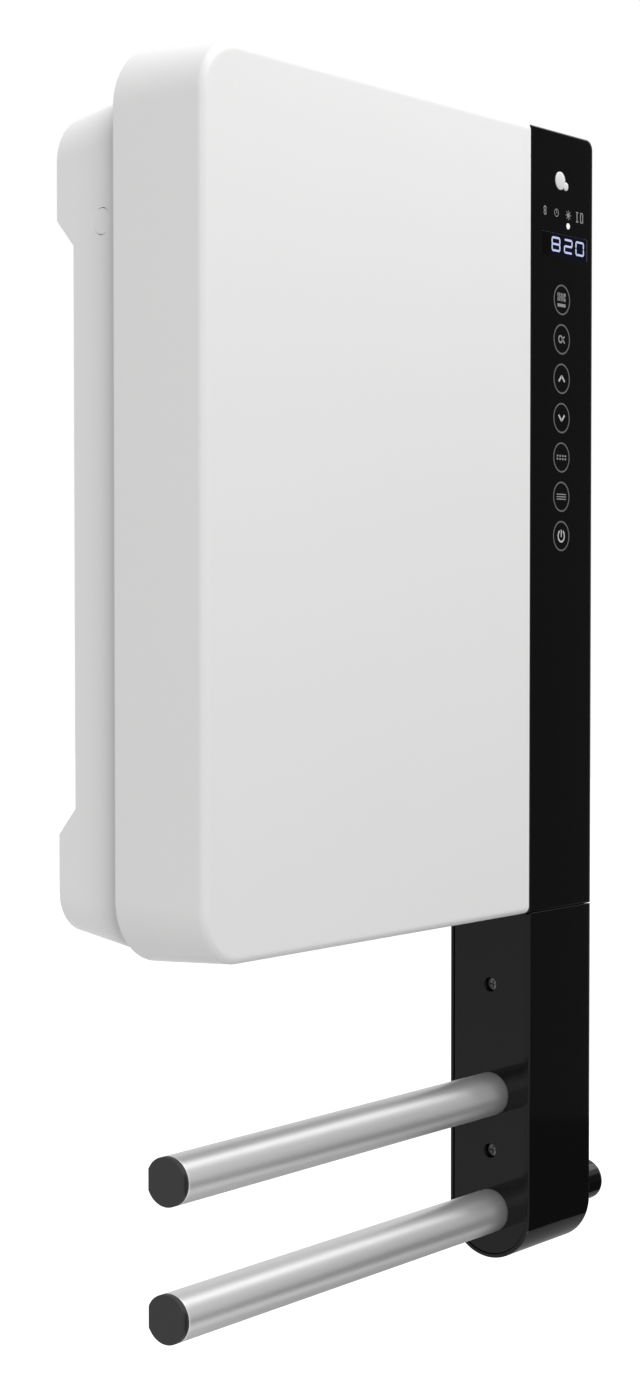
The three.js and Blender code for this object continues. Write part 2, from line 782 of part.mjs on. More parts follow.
// A pan-head screw along an axis. Its head starts at seat and its shank runs the other way.
function screw(axis, seat, towards, centre, length) {
  const headEnd = seat - towards * screwHeadHeight;
  const head = rod(axis, ascending(headEnd, seat), centre, screwHead / 2, 16);
  const shankRange = ascending(seat - towards * rootDepth, seat + towards * length);
  const shank = rod(axis, shankRange, centre, screwShank / 2, 10);
  const depth = ascending(headEnd - towards * overrun, headEnd + towards * (screwHeadHeight / 2));
  const reaches = [[screwSlotLength / 2, screwSlotWidth / 2], [screwSlotWidth / 2, screwSlotLength / 2]];
  const arms = reaches.map(([u, v]) => {
    const [a, b] = [around(centre[0], u), around(centre[1], v)];
    return axis === "x" ? box(depth, a, b) : box(a, depth, b);
  });
  return cut(head.add(shank), arms);
}

function cableGrommet() {
  const centre = [powerBoardMiddle, grommetZ];
  const inner = backInnerY - fitGap;
  const outer = fitGap - standOff;
  const lips = [[inner - grommetLipThickness, inner], [outer, outer + grommetLipThickness]];
  const whole = [lips[0][0], lips[1][1]];
  const neck = rod("y", whole, centre, grommetHole / 2 - fitGap, 20);
  const discs = lips.map((range) => rod("y", range, centre, grommetLip / 2, 20));
  return union([neck, ...discs]).subtract(rod("y", grown(whole, overrun), centre, grommetBore / 2, 16));
}

function wallBracket() {
  const plate = box(around(0, bracketHalf), [-bracketSheet, 0], around(hangHeight, bracketHeight / 2));
  const through = grown([-bracketSheet, 0], overrun);
  const slots = [-1, 1].flatMap((side) => {
    const xRange = around((side * wallSlotSpacing) / 2, (wallSlotLength - wallSlotWidth) / 2);
    const straight = box(xRange, through, around(hangHeight, wallSlotWidth / 2));
    const ends = xRange.map((x) => rod("y", through, [x, hangHeight], wallSlotWidth / 2, 16));
    return [straight, ...ends];
  });
  const lipY = backInnerY - fitGap - bracketSheet;
  const hooks = [-1, 1].flatMap((side) => {
    const xRange = around(side * hookX, hookWidth / 2);
    return [
      box(xRange, [lipY, rootDepth - bracketSheet], [hangHeight - bracketSheet, hangHeight]),
      box(xRange, [lipY, lipY + bracketSheet], [hangHeight - bracketSheet, hangHeight + hookRise]),
    ];
  });
  return cut(union([plate, ...hooks]), slots);
}

function dustFilter() {
  const yRange = [filterFrontY, filterBackY];
  const xRange = around(0, filterWidth / 2);
  const zRange = [filterBase, filterTop - fitGap];
  const opening = box(grown(xRange, -filterFrame), grown(yRange, overrun), grown(zRange, -filterFrame));
  const tab = box(around(0, filterTabWidth / 2), yRange, [zRange[1] - overrun, filterTop + filterTabRise]);
  const ribY = [yRange[0], yRange[1] - filterRibStep];
  const ribs = [];
  for (let i = 1; i < filterColumns; i += 1) {
    const x = xRange[0] + (filterWidth * i) / filterColumns;
    ribs.push(box(around(x, filterRib / 2), ribY, grown(zRange, -overrun)));
  }
  for (let j = 1; j < filterRows; j += 1) {
    const z = filterBase + (filterHeight * j) / filterRows;
    ribs.push(box(grown(xRange, -overrun), ribY, around(z, filterRib / 2)));
  }
  return union([box(xRange, yRange, zRange).subtract(opening), tab, ...ribs]);
}

// ---- Control column ----------------------------------------------------------------------------

function panelOutline(shrink) {
  const small = columnEdgeRadius;
  return roundedOutline(
    [columnLeftX + fitGap / 2 + shrink, halfWidth - shrink],
    [fitGap / 2, panelTop - shrink],
    { lowerLeft: small, lowerRight: small, upperRight: panelCornerRadius - shrink, upperLeft: small },
  );
}

function panelHollow() {
  return prism("y", [frontInnerY, rimY + overrun], roundedOutline(
    [columnLeftX + fitGap / 2 + columnWall, halfWidth - columnWall],
    [-columnRadius, panelTop - columnWall],
    {
      lowerLeft: seamCornerRadius,
      lowerRight: seamCornerRadius,
      upperRight: panelCornerRadius - columnWall,
      upperLeft: seamCornerRadius,
    },
  ));
}

function displayX(grow) {
  return grown([columnLeftX + displayLeftMargin, halfWidth - displayRightMargin], grow);
}

function displayZ(grow) {
  return grown([displayBase, displayTop], grow);
}

function controlPanel() {
  const outer = loft([
    { y: frontY, outline: panelOutline(columnEdgeRadius / 2) },
    { y: frontY + columnEdgeRadius / 2, outline: panelOutline(0) },
    { y: rimY, outline: panelOutline(0) },
  ]);
  const posts = boardPosts.flatMap((spot) => [
    rod("y", [frontInnerY - rootDepth, boardY - fitGap], spot, boardPostDiameter / 2, 12),
    rod("y", [boardY - overrun, boardY + boardThickness + boardPinRise], spot, boardPinDiameter / 2, 8),
  ]);
  const shell = union([
    outer.subtract(panelHollow()),
    sideLug(1, outer),
    screwPost(rightPost),
    ...posts,
  ]);
  const through = grown([frontY, frontInnerY], overrun);
  return cut(shell, [
    flangeNotch(1, panelTop - columnWall),
    box(displayX(fitGap), through, displayZ(fitGap)),
    rod("y", through, sensorSpot, sensorDiameter / 2 + fitGap, 20),
    rod("y", through, lightSensorSpot, lightSensorDiameter / 2 + fitGap, 12),
    rod("y", through, statusLightSpot, statusLightDiameter / 2 + fitGap, 12),
  ]);
}

// A low dome with a neck that reaches back to the board. Its shoulder is flush with the front face.
function domeLens([x, z], diameter, rise, sides) {
  const radius = diameter / 2;
  const domeSteps = 4;
  const profile = [new THREE.Vector2(0, rise)];
  for (let k = 1; k <= domeSteps; k += 1) {
    const angle = (Math.PI / 2) * (k / domeSteps);
    profile.push(new THREE.Vector2(radius * Math.sin(angle), rise * Math.cos(angle)));
  }
  const neck = boardDepth - fitGap;
  profile.push(new THREE.Vector2(radius, -neck), new THREE.Vector2(0, -neck));
  const geometry = new THREE.LatheGeometry(profile.reverse(), sides);
  geometry.rotateX(Math.PI);
  geometry.translate(x, frontY, z);
  return toSolid(geometry);
}

// The light sensor is let into the sensor's edge.
function sensorLens() {
  const notch = rod("y", [frontY - sensorRise - overrun, boardY], lightSensorSpot,
    lightSensorDiameter / 2 + fitGap, 20);
  return domeLens(sensorSpot, sensorDiameter, sensorRise, 20).subtract(notch);
}

function displayWindow() {
  return box(displayX(0), [frontY, frontInnerY - fitGap / 2], displayZ(0));
}

function displayModule() {
  return box(displayX(-moduleSideStep), [frontInnerY + fitGap, boardY - fitGap], displayZ(moduleEndLap));
}

function touchFoil() {
  const half = keyDiameter / 2 + foilMargin;
  const startY = frontInnerY + fitGap;
  return box(around(columnMiddleX, half), [startY, startY + foilThickness],
    grown([lowestKey, highestKey], half));
}

function controlBoard() {
  const xRange = grown([columnLeftX, halfWidth], -columnWall - boardMargin);
  const yRange = [boardY, boardY + boardThickness];
  const holes = boardPosts.map((spot) => (
    rod("y", grown(yRange, overrun), spot, boardPinDiameter / 2 + fitGap, 12)));
  const socketBase = boardBase + boardSocketRise;
  const socket = box(around(columnMiddleX, boardSocketWidth / 2),
    [yRange[1] - rootDepth, yRange[1] + boardSocketDepth], [socketBase, socketBase + boardSocketHeight]);
  return cut(box(xRange, yRange, [boardBase, boardTop]).add(socket), holes);
}

// An upright shape seen from the side, [y, z], with a half-round lower end about the lower bar.
function hangingProfile(radius, upperPoints) {
  const steps = 18;
  const arc = Array.from({ length: steps + 1 }, (_, k) => {
    const angle = Math.PI * (1 + k / steps);
    return [columnMiddleY + radius * Math.cos(angle), lowerBarZ + radius * Math.sin(angle)];
  });
  return [...arc, ...upperPoints];
}

function columnProfile(shrink, top) {
  const radius = columnRadius - shrink;
  return hangingProfile(radius, [[columnMiddleY + radius, top], [columnMiddleY - radius, top]]);
}

function columnCover() {
  const outer = prism("x", [columnLeftX + sidePlateInset / 2, halfWidth], columnProfile(0, -fitGap / 2));
  const inner = prism("x", [columnLeftX - overrun, halfWidth - columnWall],
    columnProfile(columnWall, overrun));
  const studHole = rod("x", [carrierX, halfWidth + overrun], [columnMiddleY, lowerBarZ],
    studRadius + fitGap, 20);
  return cut(outer, [inner, studHole]);
}

function sidePlate() {
  const xRange = [plateX, plateBackX];
  const plate = prism("x", xRange, columnProfile(columnWall + fitGap, -fitGap));
  const bosses = plateScrews.map((spot) => (
    rod("x", [plateX + rootDepth, wellEndX], spot, plateWellRadius + plateBossWall, 16)));
  const bores = plateScrews.map((spot) => (
    rod("x", [plateX - overrun, plateScrewSeat], spot, plateWellRadius, 16)));
  const holes = plateScrews.map((spot) => rod("x", [plateX, wellEndX + overrun], spot, clearRadius, 10));
  const barHoles = [upperBarZ, lowerBarZ].map((z) => (
    rod("x", grown(xRange, overrun), [columnMiddleY, z], barDiameter / 2 + fitGap, 32)));
  return cut(union([plate, ...bosses]), [...bores, ...holes, ...barHoles]);
}

// A flat upright in the column that turns back into the body and ends in a foot on the casing.
function carrier() {
  const half = carrierWidth / 2;
  const footBackY = backInnerY - fitGap;
  const footBase = carrierTop - carrierFootHeight;
  const web = prism("x", [carrierX, webEndX], hangingProfile(half, [
    [columnMiddleY + half, footBase - half],
    [footBackY, footBase],
    [footBackY, carrierTop],
    [columnMiddleY - half, carrierTop],
  ]));
  const footY = [footBackY - carrierSheet, footBackY];
  const foot = box([carrierX, carrierX + carrierFootWidth], footY, [footBase, carrierTop]);
  const through = grown([carrierX, webEndX], overrun);
  const fixings = [upperBarZ, lowerBarZ].map((z) => (
    rod("x", through, [columnMiddleY, z], studRadius + fitGap, 20)));
  const plateHoles = plateScrews.map((spot) => rod("x", through, spot, clearRadius, 16));
  const footHoles = carrierScrews.map((spot) => rod("y", grown(footY, overrun), spot, clearRadius, 16));
  return cut(web.add(foot), [...fixings, ...plateHoles, ...footHoles]);
}

// ---- Towel bars --------------------------------------------------------------------------------

function towelBar(z) {
  const startX = barEndX + capHead + capCollar + fitGap;
  return ring("x", [startX, tubeEndX], [columnMiddleY, z], barDiameter / 2, barDiameter / 2 - barWall, 36);
}

// A rod with two flats, front and back, on the first part of its length.
function flattedRod(xRange, flatX, z, diameter, sides) {
  const slab = box(flatX, around(columnMiddleY, diameter / 2 - capFlatDepth), around(z, diameter));
  const flatted = rod("x", flatX, [columnMiddleY, z], diameter / 2, sides).intersect(slab);
  return flatted.add(rod("x", xRange, [columnMiddleY, z], diameter / 2, sides));
}

function barCap(z) {
  const headEnd = barEndX + capHead;
  const collarEnd = headEnd + capCollar;
  const head = flattedRod([headEnd, collarEnd], [barEndX, headEnd + rootDepth], z, barDiameter, 36);
  return head.add(rod("x", [headEnd, collarEnd + capSpigot], [columnMiddleY, z], boreRadius));
}

function barSocket(z) {
  const centre = [columnMiddleY, z];
  const plug = rod("x", [tubeEndX - socketLength, tubeEndX], centre, boreRadius);
  const bore = rod("x", [tubeEndX - socketBore, tubeEndX + overrun], centre, studRadius + fitGap, 16);
  return plug.subtract(bore);
}

function barBolt(z) {
  const centre = [columnMiddleY, z];
  const headX = webEndX + fitGap;
  const shank = rod("x", [boltStartX, headX + rootDepth], centre, studRadius, 16);
  return shank.add(rod("x", [headX, headX + boltHeadHeight], centre, hexDiameter / 2, 6));
}

function lowerStud() {
  return rod("x", [boltStartX, halfWidth + studReach], [columnMiddleY, lowerBarZ], studRadius, 16);
}

function studNut() {
  const centre = [columnMiddleY, lowerBarZ];
  const xRange = [webEndX + fitGap, webEndX + fitGap + nutHeight];
  const bore = rod("x", grown(xRange, overrun), centre, studRadius + fitGap, 16);
  return rod("x", xRange, centre, hexDiameter / 2, 6).subtract(bore);
}

// The peg has the caps' two flats along its barrel and a round collar against the column.
function robePeg() {
  const centre = [columnMiddleY, lowerBarZ];
  const neckX = halfWidth + fitGap;
  const barrelX = neckX + pegNeck;
  const neck = rod("x", [neckX, barrelX + rootDepth], centre, pegDiameter / 2 - pegNeckStep, 32);
  const barrel = rod("x", [barrelX, halfWidth + pegLength], centre, pegDiameter / 2, 32);
  const bore = [neckX - overrun, halfWidth + studReach + studRunout];
  return neck.add(barrel).subtract(rod("x", bore, centre, studRadius + fitGap, 16));
}

// ---- Blower ------------------------------------------------------------------------------------

function polar(radius, degrees) {
  const angle = THREE.MathUtils.degToRad(degrees);
  return [axisY + radius * Math.cos(angle), axisZ + radius * Math.sin(angle)];
}

// A bent sheet of even thickness along X. Its outline runs out along the near side and back.
function bentSheet(near, far) {
  return prism("x", grown([blowerLeftX, blowerRightX], -fitGap), [...near, ...far.reverse()]);
}

// The rear guide opens as a spiral from the top round the back, then drops as the duct's back wall.
function rearGuide() {
  const steps = 8;
  const near = [];
  const far = [];
  for (let k = 0; k <= steps; k += 1) {
    const share = k / steps;
    const degrees = scrollStart + (scrollEnd - scrollStart) * share;
    const radius = wheelRadius + guideClearance + scrollGrowth * share;
    near.push(polar(radius, degrees));
    far.push(polar(radius + guideSheet, degrees));
  }
  const straightTop = wheelBottom - scrollFoot;
  near.push([ductBackY, straightTop], [ductBackY, ductFloor]);
  far.push([ductBackY + guideSheet, straightTop], [ductBackY + guideSheet, ductFloor]);
  return bentSheet(near, far);
}

// The front guide is the duct's front wall with a curled tongue close to the wheel.
function frontGuide() {
  const steps = 3;
  const radius = wheelRadius + guideClearance;
  const straightTop = wheelBottom + tongueRise - tongueLength;
  const near = [[ductFrontY, ductFloor], [ductFrontY, straightTop]];
  const far = [[ductFrontY - guideSheet, ductFloor], [ductFrontY - guideSheet, straightTop]];
  for (let k = 0; k <= steps; k += 1) {
    const degrees = tongueStart + (tongueEnd - tongueStart) * (k / steps);
    near.push(polar(radius, degrees));
    far.push(polar(radius + guideSheet, degrees));
  }
  return bentSheet(near, far);
}

function endPlate(side) {
  const inner = side < 0 ? blowerLeftX : blowerRightX;
  const outer = inner + side * guideSheet;
  const reach = wheelRadius + guideClearance + scrollGrowth + guideSheet + plateMargin;
  const frontEdge = Math.max(axisY - reach, frontInnerY + fitGap);
  const backEdge = axisY + reach;
  const footY = backInnerY - fitGap;
  const footTop = plateFootBase + plateFootHeight;
  const ductY = grown([ductFrontY, ductBackY], guideSheet);
  const sheet = prism("x", ascending(inner, outer), [
    [frontEdge, wheelBottom],
    [ductY[0], wheelBottom - plateWaist],
    [ductY[0], ductFloor],
    [ductY[1], ductFloor],
    [ductY[1], wheelBottom - plateWaist],
    [backEdge, plateFootBase],
    [footY, plateFootBase],
    [footY, footTop],
    [backEdge, footTop],
    [backEdge, axisZ + reach],
    [frontEdge, axisZ + reach],
  ]);
  const foot = box(ascending(inner, outer + side * plateFootLength), [footY - guideSheet, footY],
    [plateFootBase, footTop]);
  const hole = rod("x", grown(ascending(inner, outer), overrun), [axisY, axisZ], bearingHole, 20);
  return sheet.add(foot).subtract(hole);
}

function fanWheel() {
  const centre = [axisY, axisZ];
  const discs = [
    rod("x", [wheelLeftX, wheelLeftX + discThickness], centre, wheelRadius, 32),
    rod("x", [wheelRightX - discThickness, wheelRightX], centre, wheelRadius, 32),
  ];
  const journalX = blowerLeftX - guideSheet - bearingLength - shaftTail;
  const journal = rod("x", [journalX, wheelLeftX + overrun], centre, shaftDiameter / 2, 16);
  const hub = rod("x", [wheelHubX, wheelRightX - overrun], centre, shaftDiameter, 20);
  const outer = wheelRadius - bladeInset;
  const turn = 360 / bladeCount;
  const halfAngle = THREE.MathUtils.radToDeg(bladeThickness / 2 / outer);
  const blades = Array.from({ length: bladeCount }, (_, k) => {
    const stations = [0, 0.5, 1].map((share) => [
      outer - bladeDepth * (1 - share), k * turn + bladeLean * Math.sin((share * Math.PI) / 2)]);
    const near = stations.map(([radius, angle]) => polar(radius, angle - halfAngle));
    const far = stations.map(([radius, angle]) => polar(radius, angle + halfAngle));
    return prism("x", grown([wheelLeftX, wheelRightX], -overrun), [...near, ...far.reverse()]);
  });
  const bore = rod("x", grown([wheelHubX, wheelRightX], overrun), centre,
    shaftDiameter / 2 + fitGap / 2, 20);
  return union([...discs, journal, hub, ...blades]).subtract(bore);
}

function leftBearing() {
  const centre = [axisY, axisZ];
  const radius = bearingDiameter / 2;
  const bore = shaftDiameter / 2 + fitGap / 2;
  const startX = blowerLeftX - guideSheet - bearingLength;
  return union([
    ring("x", [startX, blowerLeftX + rootDepth], centre, radius, bore, 16),
    ring("x", [startX, blowerLeftX - guideSheet - fitGap], centre, radius + bearingCollar, bore, 16),
  ]);
}

// ---- Motor -------------------------------------------------------------------------------------

function motorShaft() {
  return rod("x", [wheelHubX + overrun, motorRight + shaftTail], [axisY, axisZ], shaftDiameter / 2, 20);
}

function motorRotor() {
  return ring("x", [statorX, statorEndX], [axisY, axisZ], rotorDiameter / 2,
    shaftDiameter / 2 + fitGap / 2, 20);
}

function stator() {
  const xRange = [statorX, statorEndX];
  const half = statorWidth / 2;
  const core = box(xRange, around(axisY, half), [statorBottom, statorTop]);
  const bore = rod("x", grown(xRange, overrun), [axisY, axisZ], rotorDiameter / 2 + rotorGap, 20);
  const window = box(grown(xRange, overrun), around(axisY, half - statorBar),
    [axisZ + (rotorDiameter + statorBar) / 2, statorTop - statorBar]);
  return cut(core, [bore, window]);
}

// The coil is wound on the stator's top bar.
function motorCoil() {
  const xRange = [statorX, statorEndX];
  const barZ = [statorTop - statorBar, statorTop];
  const outer = box(grown(xRange, coilBuild), around(axisY, coilWidth / 2), grown(barZ, coilBuild));
  const bar = box(grown(xRange, fitGap), around(axisY, coilWidth / 2 + overrun), grown(barZ, fitGap));
  return outer.subtract(bar);
}

// A bridge across one face of the stator with the bearing in its middle.
function motorBridge(side) {
  const face = side < 0 ? statorX - fitGap : statorEndX + fitGap;
  const innerX = face + side * (motorGap - bridgeThickness - 2 * fitGap);
  const outerX = innerX + side * bridgeThickness;
  const half = statorWidth / 2;
  const zRange = around(axisZ, bridgeHeight / 2);
  const bar = box(ascending(innerX, outerX), around(axisY, half), zRange);
  const feet = [-1, 1].map((end) => box(ascending(face, outerX),
    ascending(axisY + end * half, axisY + end * (half - bridgeFoot)), zRange));
  const hub = rod("x", ascending(innerX - side * bridgeHubReach, outerX), [axisY, axisZ], shaftDiameter, 16);
  const bore = rod("x", ascending(face, outerX + side * overrun), [axisY, axisZ],
    shaftDiameter / 2 + fitGap / 2, 16);
  return union([bar, ...feet, hub]).subtract(bore);
}

// ---- Heater ------------------------------------------------------------------------------------

const heaterX = grown([blowerLeftX, blowerRightX], -fitGap);
const heaterY = grown([ductFrontY, ductBackY], -fitGap);
const heaterZ = [heaterBase, heaterBase + heaterHeight];
const rowX = grown(heaterX, -heaterWall - fitGap);
const rowWidth = (heaterY[1] - heaterY[0] - 2 * heaterWall - (rowCount - 1) * tubeThickness
  - 2 * rowCount * fitGap) / rowCount;

function rowStart(row) {
  return heaterY[0] + heaterWall + fitGap + row * (rowWidth + tubeThickness + 2 * fitGap);
}

function heaterFrame() {
  const inner = box(grown(heaterX, -heaterWall), grown(heaterY, -heaterWall), grown(heaterZ, overrun));
  return box(heaterX, heaterY, heaterZ).subtract(inner);
}

// One strip folded to and fro across its row.
function finRow(row) {
  const bends = Math.floor((2 * (rowX[1] - rowX[0])) / finPitch);
  const near = rowStart(row);
  const far = near + rowWidth - finThickness;
  const front = Array.from({ length: bends + 1 }, (_, k) => (
    [rowX[0] + (k * finPitch) / 2, k % 2 === 0 ? near : far]));
  const back = front.map(([x, y]) => [x, y + finThickness]).reverse();
  return prism("z", grown(heaterZ, -finInset), [...front, ...back]);
}

function heaterTube(row) {
  const y = rowStart(row) + rowWidth + fitGap;
  return box(rowX, [y, y + tubeThickness], grown(heaterZ, -finInset));
}

function thermalCutout() {
  const seatY = ductFrontY - guideSheet - fitGap;
  const centre = [(blowerLeftX + blowerRightX) / 2, heaterZ[1] + cutoutRise];
  return union([
    rod("y", [seatY - cutoutFlangeThickness, seatY], centre, cutoutFlange / 2, 16),
    rod("y", [frontInnerY + cutoutClearance, seatY], centre, cutoutDiameter / 2, 16),
  ]);
}

// ---- Power board -------------------------------------------------------------------------------

const powerBoardY = [postFrontY - fitGap - boardThickness, postFrontY - fitGap];
const standY = powerBoardY[0] - fitGap; // where the board's parts stand
const powerPartZ = [0.24, 0.5, 0.72].map((share) => (
  powerBoardBase + (powerBoardTop - powerBoardBase) * share));
const [terminalZ, relayZ, capacitorZ] = powerPartZ;

function powerBoard() {
  const board = box(around(powerBoardMiddle, powerBoardWidth / 2), powerBoardY,
    [powerBoardBase, powerBoardTop]);
  const holes = powerPosts.map((spot) => (
    rod("y", grown(powerBoardY, overrun), spot, boardPinDiameter / 2 + fitGap, 12)));
  return cut(board, holes);
}

function terminalBlock() {
  const block = box(around(powerBoardMiddle, terminalWidth / 2), [standY - terminalDepth, standY],
    around(terminalZ, terminalHeight / 2));
  const wellY = [standY - terminalDepth - overrun, standY - terminalFloor];
  const wells = [-1, 0, 1].map((place) => rod("y", wellY,
    [powerBoardMiddle + (place * terminalWidth) / 3, terminalZ], terminalWell / 2, 12));
  return cut(block, wells);
}

function relay() {
  return box(around(powerBoardMiddle, relayWidth / 2), [standY - relayDepth, standY],
    around(relayZ, relayHeight / 2));
}

function capacitor() {
  const centre = [powerBoardMiddle, capacitorZ];
  return rod("y", [standY - capacitorLength, standY], centre, capacitorDiameter / 2);
}

// ---- Assembly ----------------------------------------------------------------------------------

const heater = new THREE.Group();
heater.position.z = -hangHeight;

const housing = new THREE.Group();
piece(housing, "front_cover", frontCover(), whiteShell);
piece(housing, "rear_casing", rearCasing(), whiteShell);
piece(housing, "outlet_grille", outletGrille(), glossBlack);
piece(housing, "wall_bracket", wallBracket(), zincSteel);
piece(housing, "side_cap_left", sideCap(-1), whiteShell);
piece(housing, "side_cap_right", sideCap(1), whiteShell);
const sideScrewLength = shellWall + lugThickness;
piece(housing, "side_screw_left", screw("x", -sideFloorX, 1, sideCentre, sideScrewLength), zincSteel);
piece(housing, "side_screw_right", screw("x", sideFloorX, -1, sideCentre, sideScrewLength), zincSteel);
const rearSeat = flangeY + shellWall;
const rearScrewLength = shellWall + postGrip;
piece(housing, "rear_screw_left", screw("y", rearSeat, -1, leftPost, rearScrewLength), zincSteel);
piece(housing, "rear_screw_right", screw("y", rearSeat, -1, rightPost, rearScrewLength), zincSteel);
piece(housing, "cable_grommet", cableGrommet(), blackRubber);
piece(housing, "dust_filter", dustFilter(), filterGrey);
heater.add(housing);

const column = new THREE.Group();
piece(column, "control_panel", controlPanel(), glossBlack);
piece(column, "display_window", displayWindow(), smokedWindow);
piece(column, "display_module", displayModule(), darkPlastic);
piece(column, "touch_foil", touchFoil(), copperCoil);
piece(column, "control_board", controlBoard(), boardGreen);
piece(column, "sensor_lens", sensorLens(), whiteLens);
const lightSensorLens = domeLens(lightSensorSpot, lightSensorDiameter, lightSensorRise, 12);
piece(column, "light_sensor_lens", lightSensorLens, whiteLens);
const statusLight = domeLens(statusLightSpot, statusLightDiameter, statusLightRise, 12);
piece(column, "status_light", statusLight, whiteLens);
piece(column, "column_cover", columnCover(), glossBlack);
piece(column, "column_side_plate", sidePlate(), glossBlack);
piece(column, "column_carrier", carrier(), zincSteel);
const plateScrewLength = sidePlateThickness + fitGap + carrierSheet + screwTail;
const carrierScrewLength = shellWall + carrierSheet + screwTail;
["upper", "lower"].forEach((place, index) => {
  const plateScrew = screw("x", plateScrewSeat, 1, plateScrews[index], plateScrewLength);
  const carrierScrew = screw("y", fitGap - standOff, -1, carrierScrews[index], carrierScrewLength);
  piece(column, `plate_screw_${place}`, plateScrew, zincSteel);
  piece(column, `carrier_screw_${place}`, carrierScrew, zincSteel);
});
heater.add(column);

const towelBars = new THREE.Group();
[["upper", upperBarZ], ["lower", lowerBarZ]].forEach(([place, z]) => {
  piece(towelBars, `towel_bar_${place}`, towelBar(z), brushedAluminium);
  piece(towelBars, `bar_cap_${place}`, barCap(z), darkPlastic);
  piece(towelBars, `bar_socket_${place}`, barSocket(z), zincSteel);
});
piece(towelBars, "upper_bar_bolt", barBolt(upperBarZ), zincSteel);
piece(towelBars, "lower_bar_stud", lowerStud(), zincSteel);
piece(towelBars, "lower_stud_nut", studNut(), zincSteel);
piece(towelBars, "robe_peg", robePeg(), glossBlack);
heater.add(towelBars);

const blower = new THREE.Group();
piece(blower, "fan_wheel", fanWheel(), wheelPlastic);
piece(blower, "motor_shaft", motorShaft(), zincSteel);
piece(blower, "motor_rotor", motorRotor(), laminations);
piece(blower, "rear_guide", rearGuide(), zincSteel);
piece(blower, "front_guide", frontGuide(), zincSteel);
piece(blower, "end_plate_left", endPlate(-1), zincSteel);
piece(blower, "end_plate_right", endPlate(1), zincSteel);
piece(blower, "wheel_bearing", leftBearing(), blackRubber);
piece(blower, "motor_stator", stator(), laminations);
piece(blower, "motor_coil", motorCoil(), copperCoil);
piece(blower, "motor_bridge_left", motorBridge(-1), zincSteel);
piece(blower, "motor_bridge_right", motorBridge(1), zincSteel);
piece(blower, "heater_frame", heaterFrame(), frameMica);
for (let row = 0; row < rowCount; row += 1) {
  piece(blower, `heater_fins_${row + 1}`, finRow(row), finAluminium);
}
for (let row = 0; row + 1 < rowCount; row += 1) {
  piece(blower, `heater_element_${row + 1}`, heaterTube(row), finAluminium);
}
piece(blower, "thermal_cutout", thermalCutout(), darkPlastic);
heater.add(blower);

const electronics = new THREE.Group();
piece(electronics, "power_board", powerBoard(), boardGreen);
piece(electronics, "terminal_block", terminalBlock(), terminalWhite);
piece(electronics, "power_relay", relay(), darkPlastic);
piece(electronics, "power_capacitor", capacitor(), darkPlastic);
heater.add(electronics);

export default heater;
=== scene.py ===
"""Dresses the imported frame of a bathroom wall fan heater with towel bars.

Lengths are in metres. Shapes are laid out from the foot of the front face (z = 0) and then moved
down by HANG into the frame, whose origin is the wall bracket. X runs to the control column, Y
to the wall.
"""

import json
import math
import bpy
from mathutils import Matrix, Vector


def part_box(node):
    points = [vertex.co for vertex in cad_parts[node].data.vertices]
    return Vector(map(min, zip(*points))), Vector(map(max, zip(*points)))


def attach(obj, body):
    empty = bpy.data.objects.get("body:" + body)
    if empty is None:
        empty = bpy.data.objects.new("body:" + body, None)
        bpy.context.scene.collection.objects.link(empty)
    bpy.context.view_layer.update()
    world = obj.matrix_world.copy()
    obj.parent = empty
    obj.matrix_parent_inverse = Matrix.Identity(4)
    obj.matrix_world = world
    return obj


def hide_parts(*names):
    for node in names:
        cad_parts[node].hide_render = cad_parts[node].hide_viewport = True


bl_info = {
    "name": "Bathroom Fan Heater",
    "version": (1, 0, 0),
    "blender": (4, 5, 0),
    "location": "3D View > Sidebar > Fan Heater",
    "description": "White housing, control column, towel bars and studio for a fan heater",
    "category": "Object",
}

import bmesh
import bpy
import numpy as np
from bpy.props import FloatProperty, FloatVectorProperty, IntProperty, PointerProperty
from mathutils import Matrix, Vector

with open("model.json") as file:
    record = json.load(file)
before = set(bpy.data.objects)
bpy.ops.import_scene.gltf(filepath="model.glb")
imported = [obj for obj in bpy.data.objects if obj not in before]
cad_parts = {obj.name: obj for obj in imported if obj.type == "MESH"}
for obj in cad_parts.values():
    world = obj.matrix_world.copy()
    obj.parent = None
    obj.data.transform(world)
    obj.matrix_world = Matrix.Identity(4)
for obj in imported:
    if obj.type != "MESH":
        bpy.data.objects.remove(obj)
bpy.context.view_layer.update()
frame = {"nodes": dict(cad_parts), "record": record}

HANG = 0.395  # wall bracket above the foot of the front face
FIT = 0.0003  # gap between neighbouring pieces
FLAT_LEAD = 0.0012  # a flat face's shading is held this far from its rounded edges
PAST = 0.001  # a cutter reaches this far past the face that it cuts
PRINT_DEPTH = 0.00003  # print stands this far in front of the face
DIGIT_DEPTH = 0.00004  # and the lit digits this far
MM = 0.001


def node_box(node):
    """Lowest and highest corner of a frame node, measured from the foot of the front face."""
    low, high = (np.array(corner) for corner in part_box(node))
    return low + (0, 0, HANG), high + (0, 0, HANG)


def node_centre(node):
    low, high = node_box(node)
    return (low + high) / 2


PANEL_LOW, PANEL_HIGH = node_box("control_panel")
FRONT_Y, RIM_Y = (float(corner[1]) for corner in node_box("column_cover"))


# ---- Settings ----


def length(name, description, default, least):
    return FloatProperty(
        name=name, description=description, default=default, min=least, unit="LENGTH")


def tone(name, description, default):
    return FloatVectorProperty(
        name=name, description=description, subtype="COLOR", size=3, min=0, max=1, default=default)


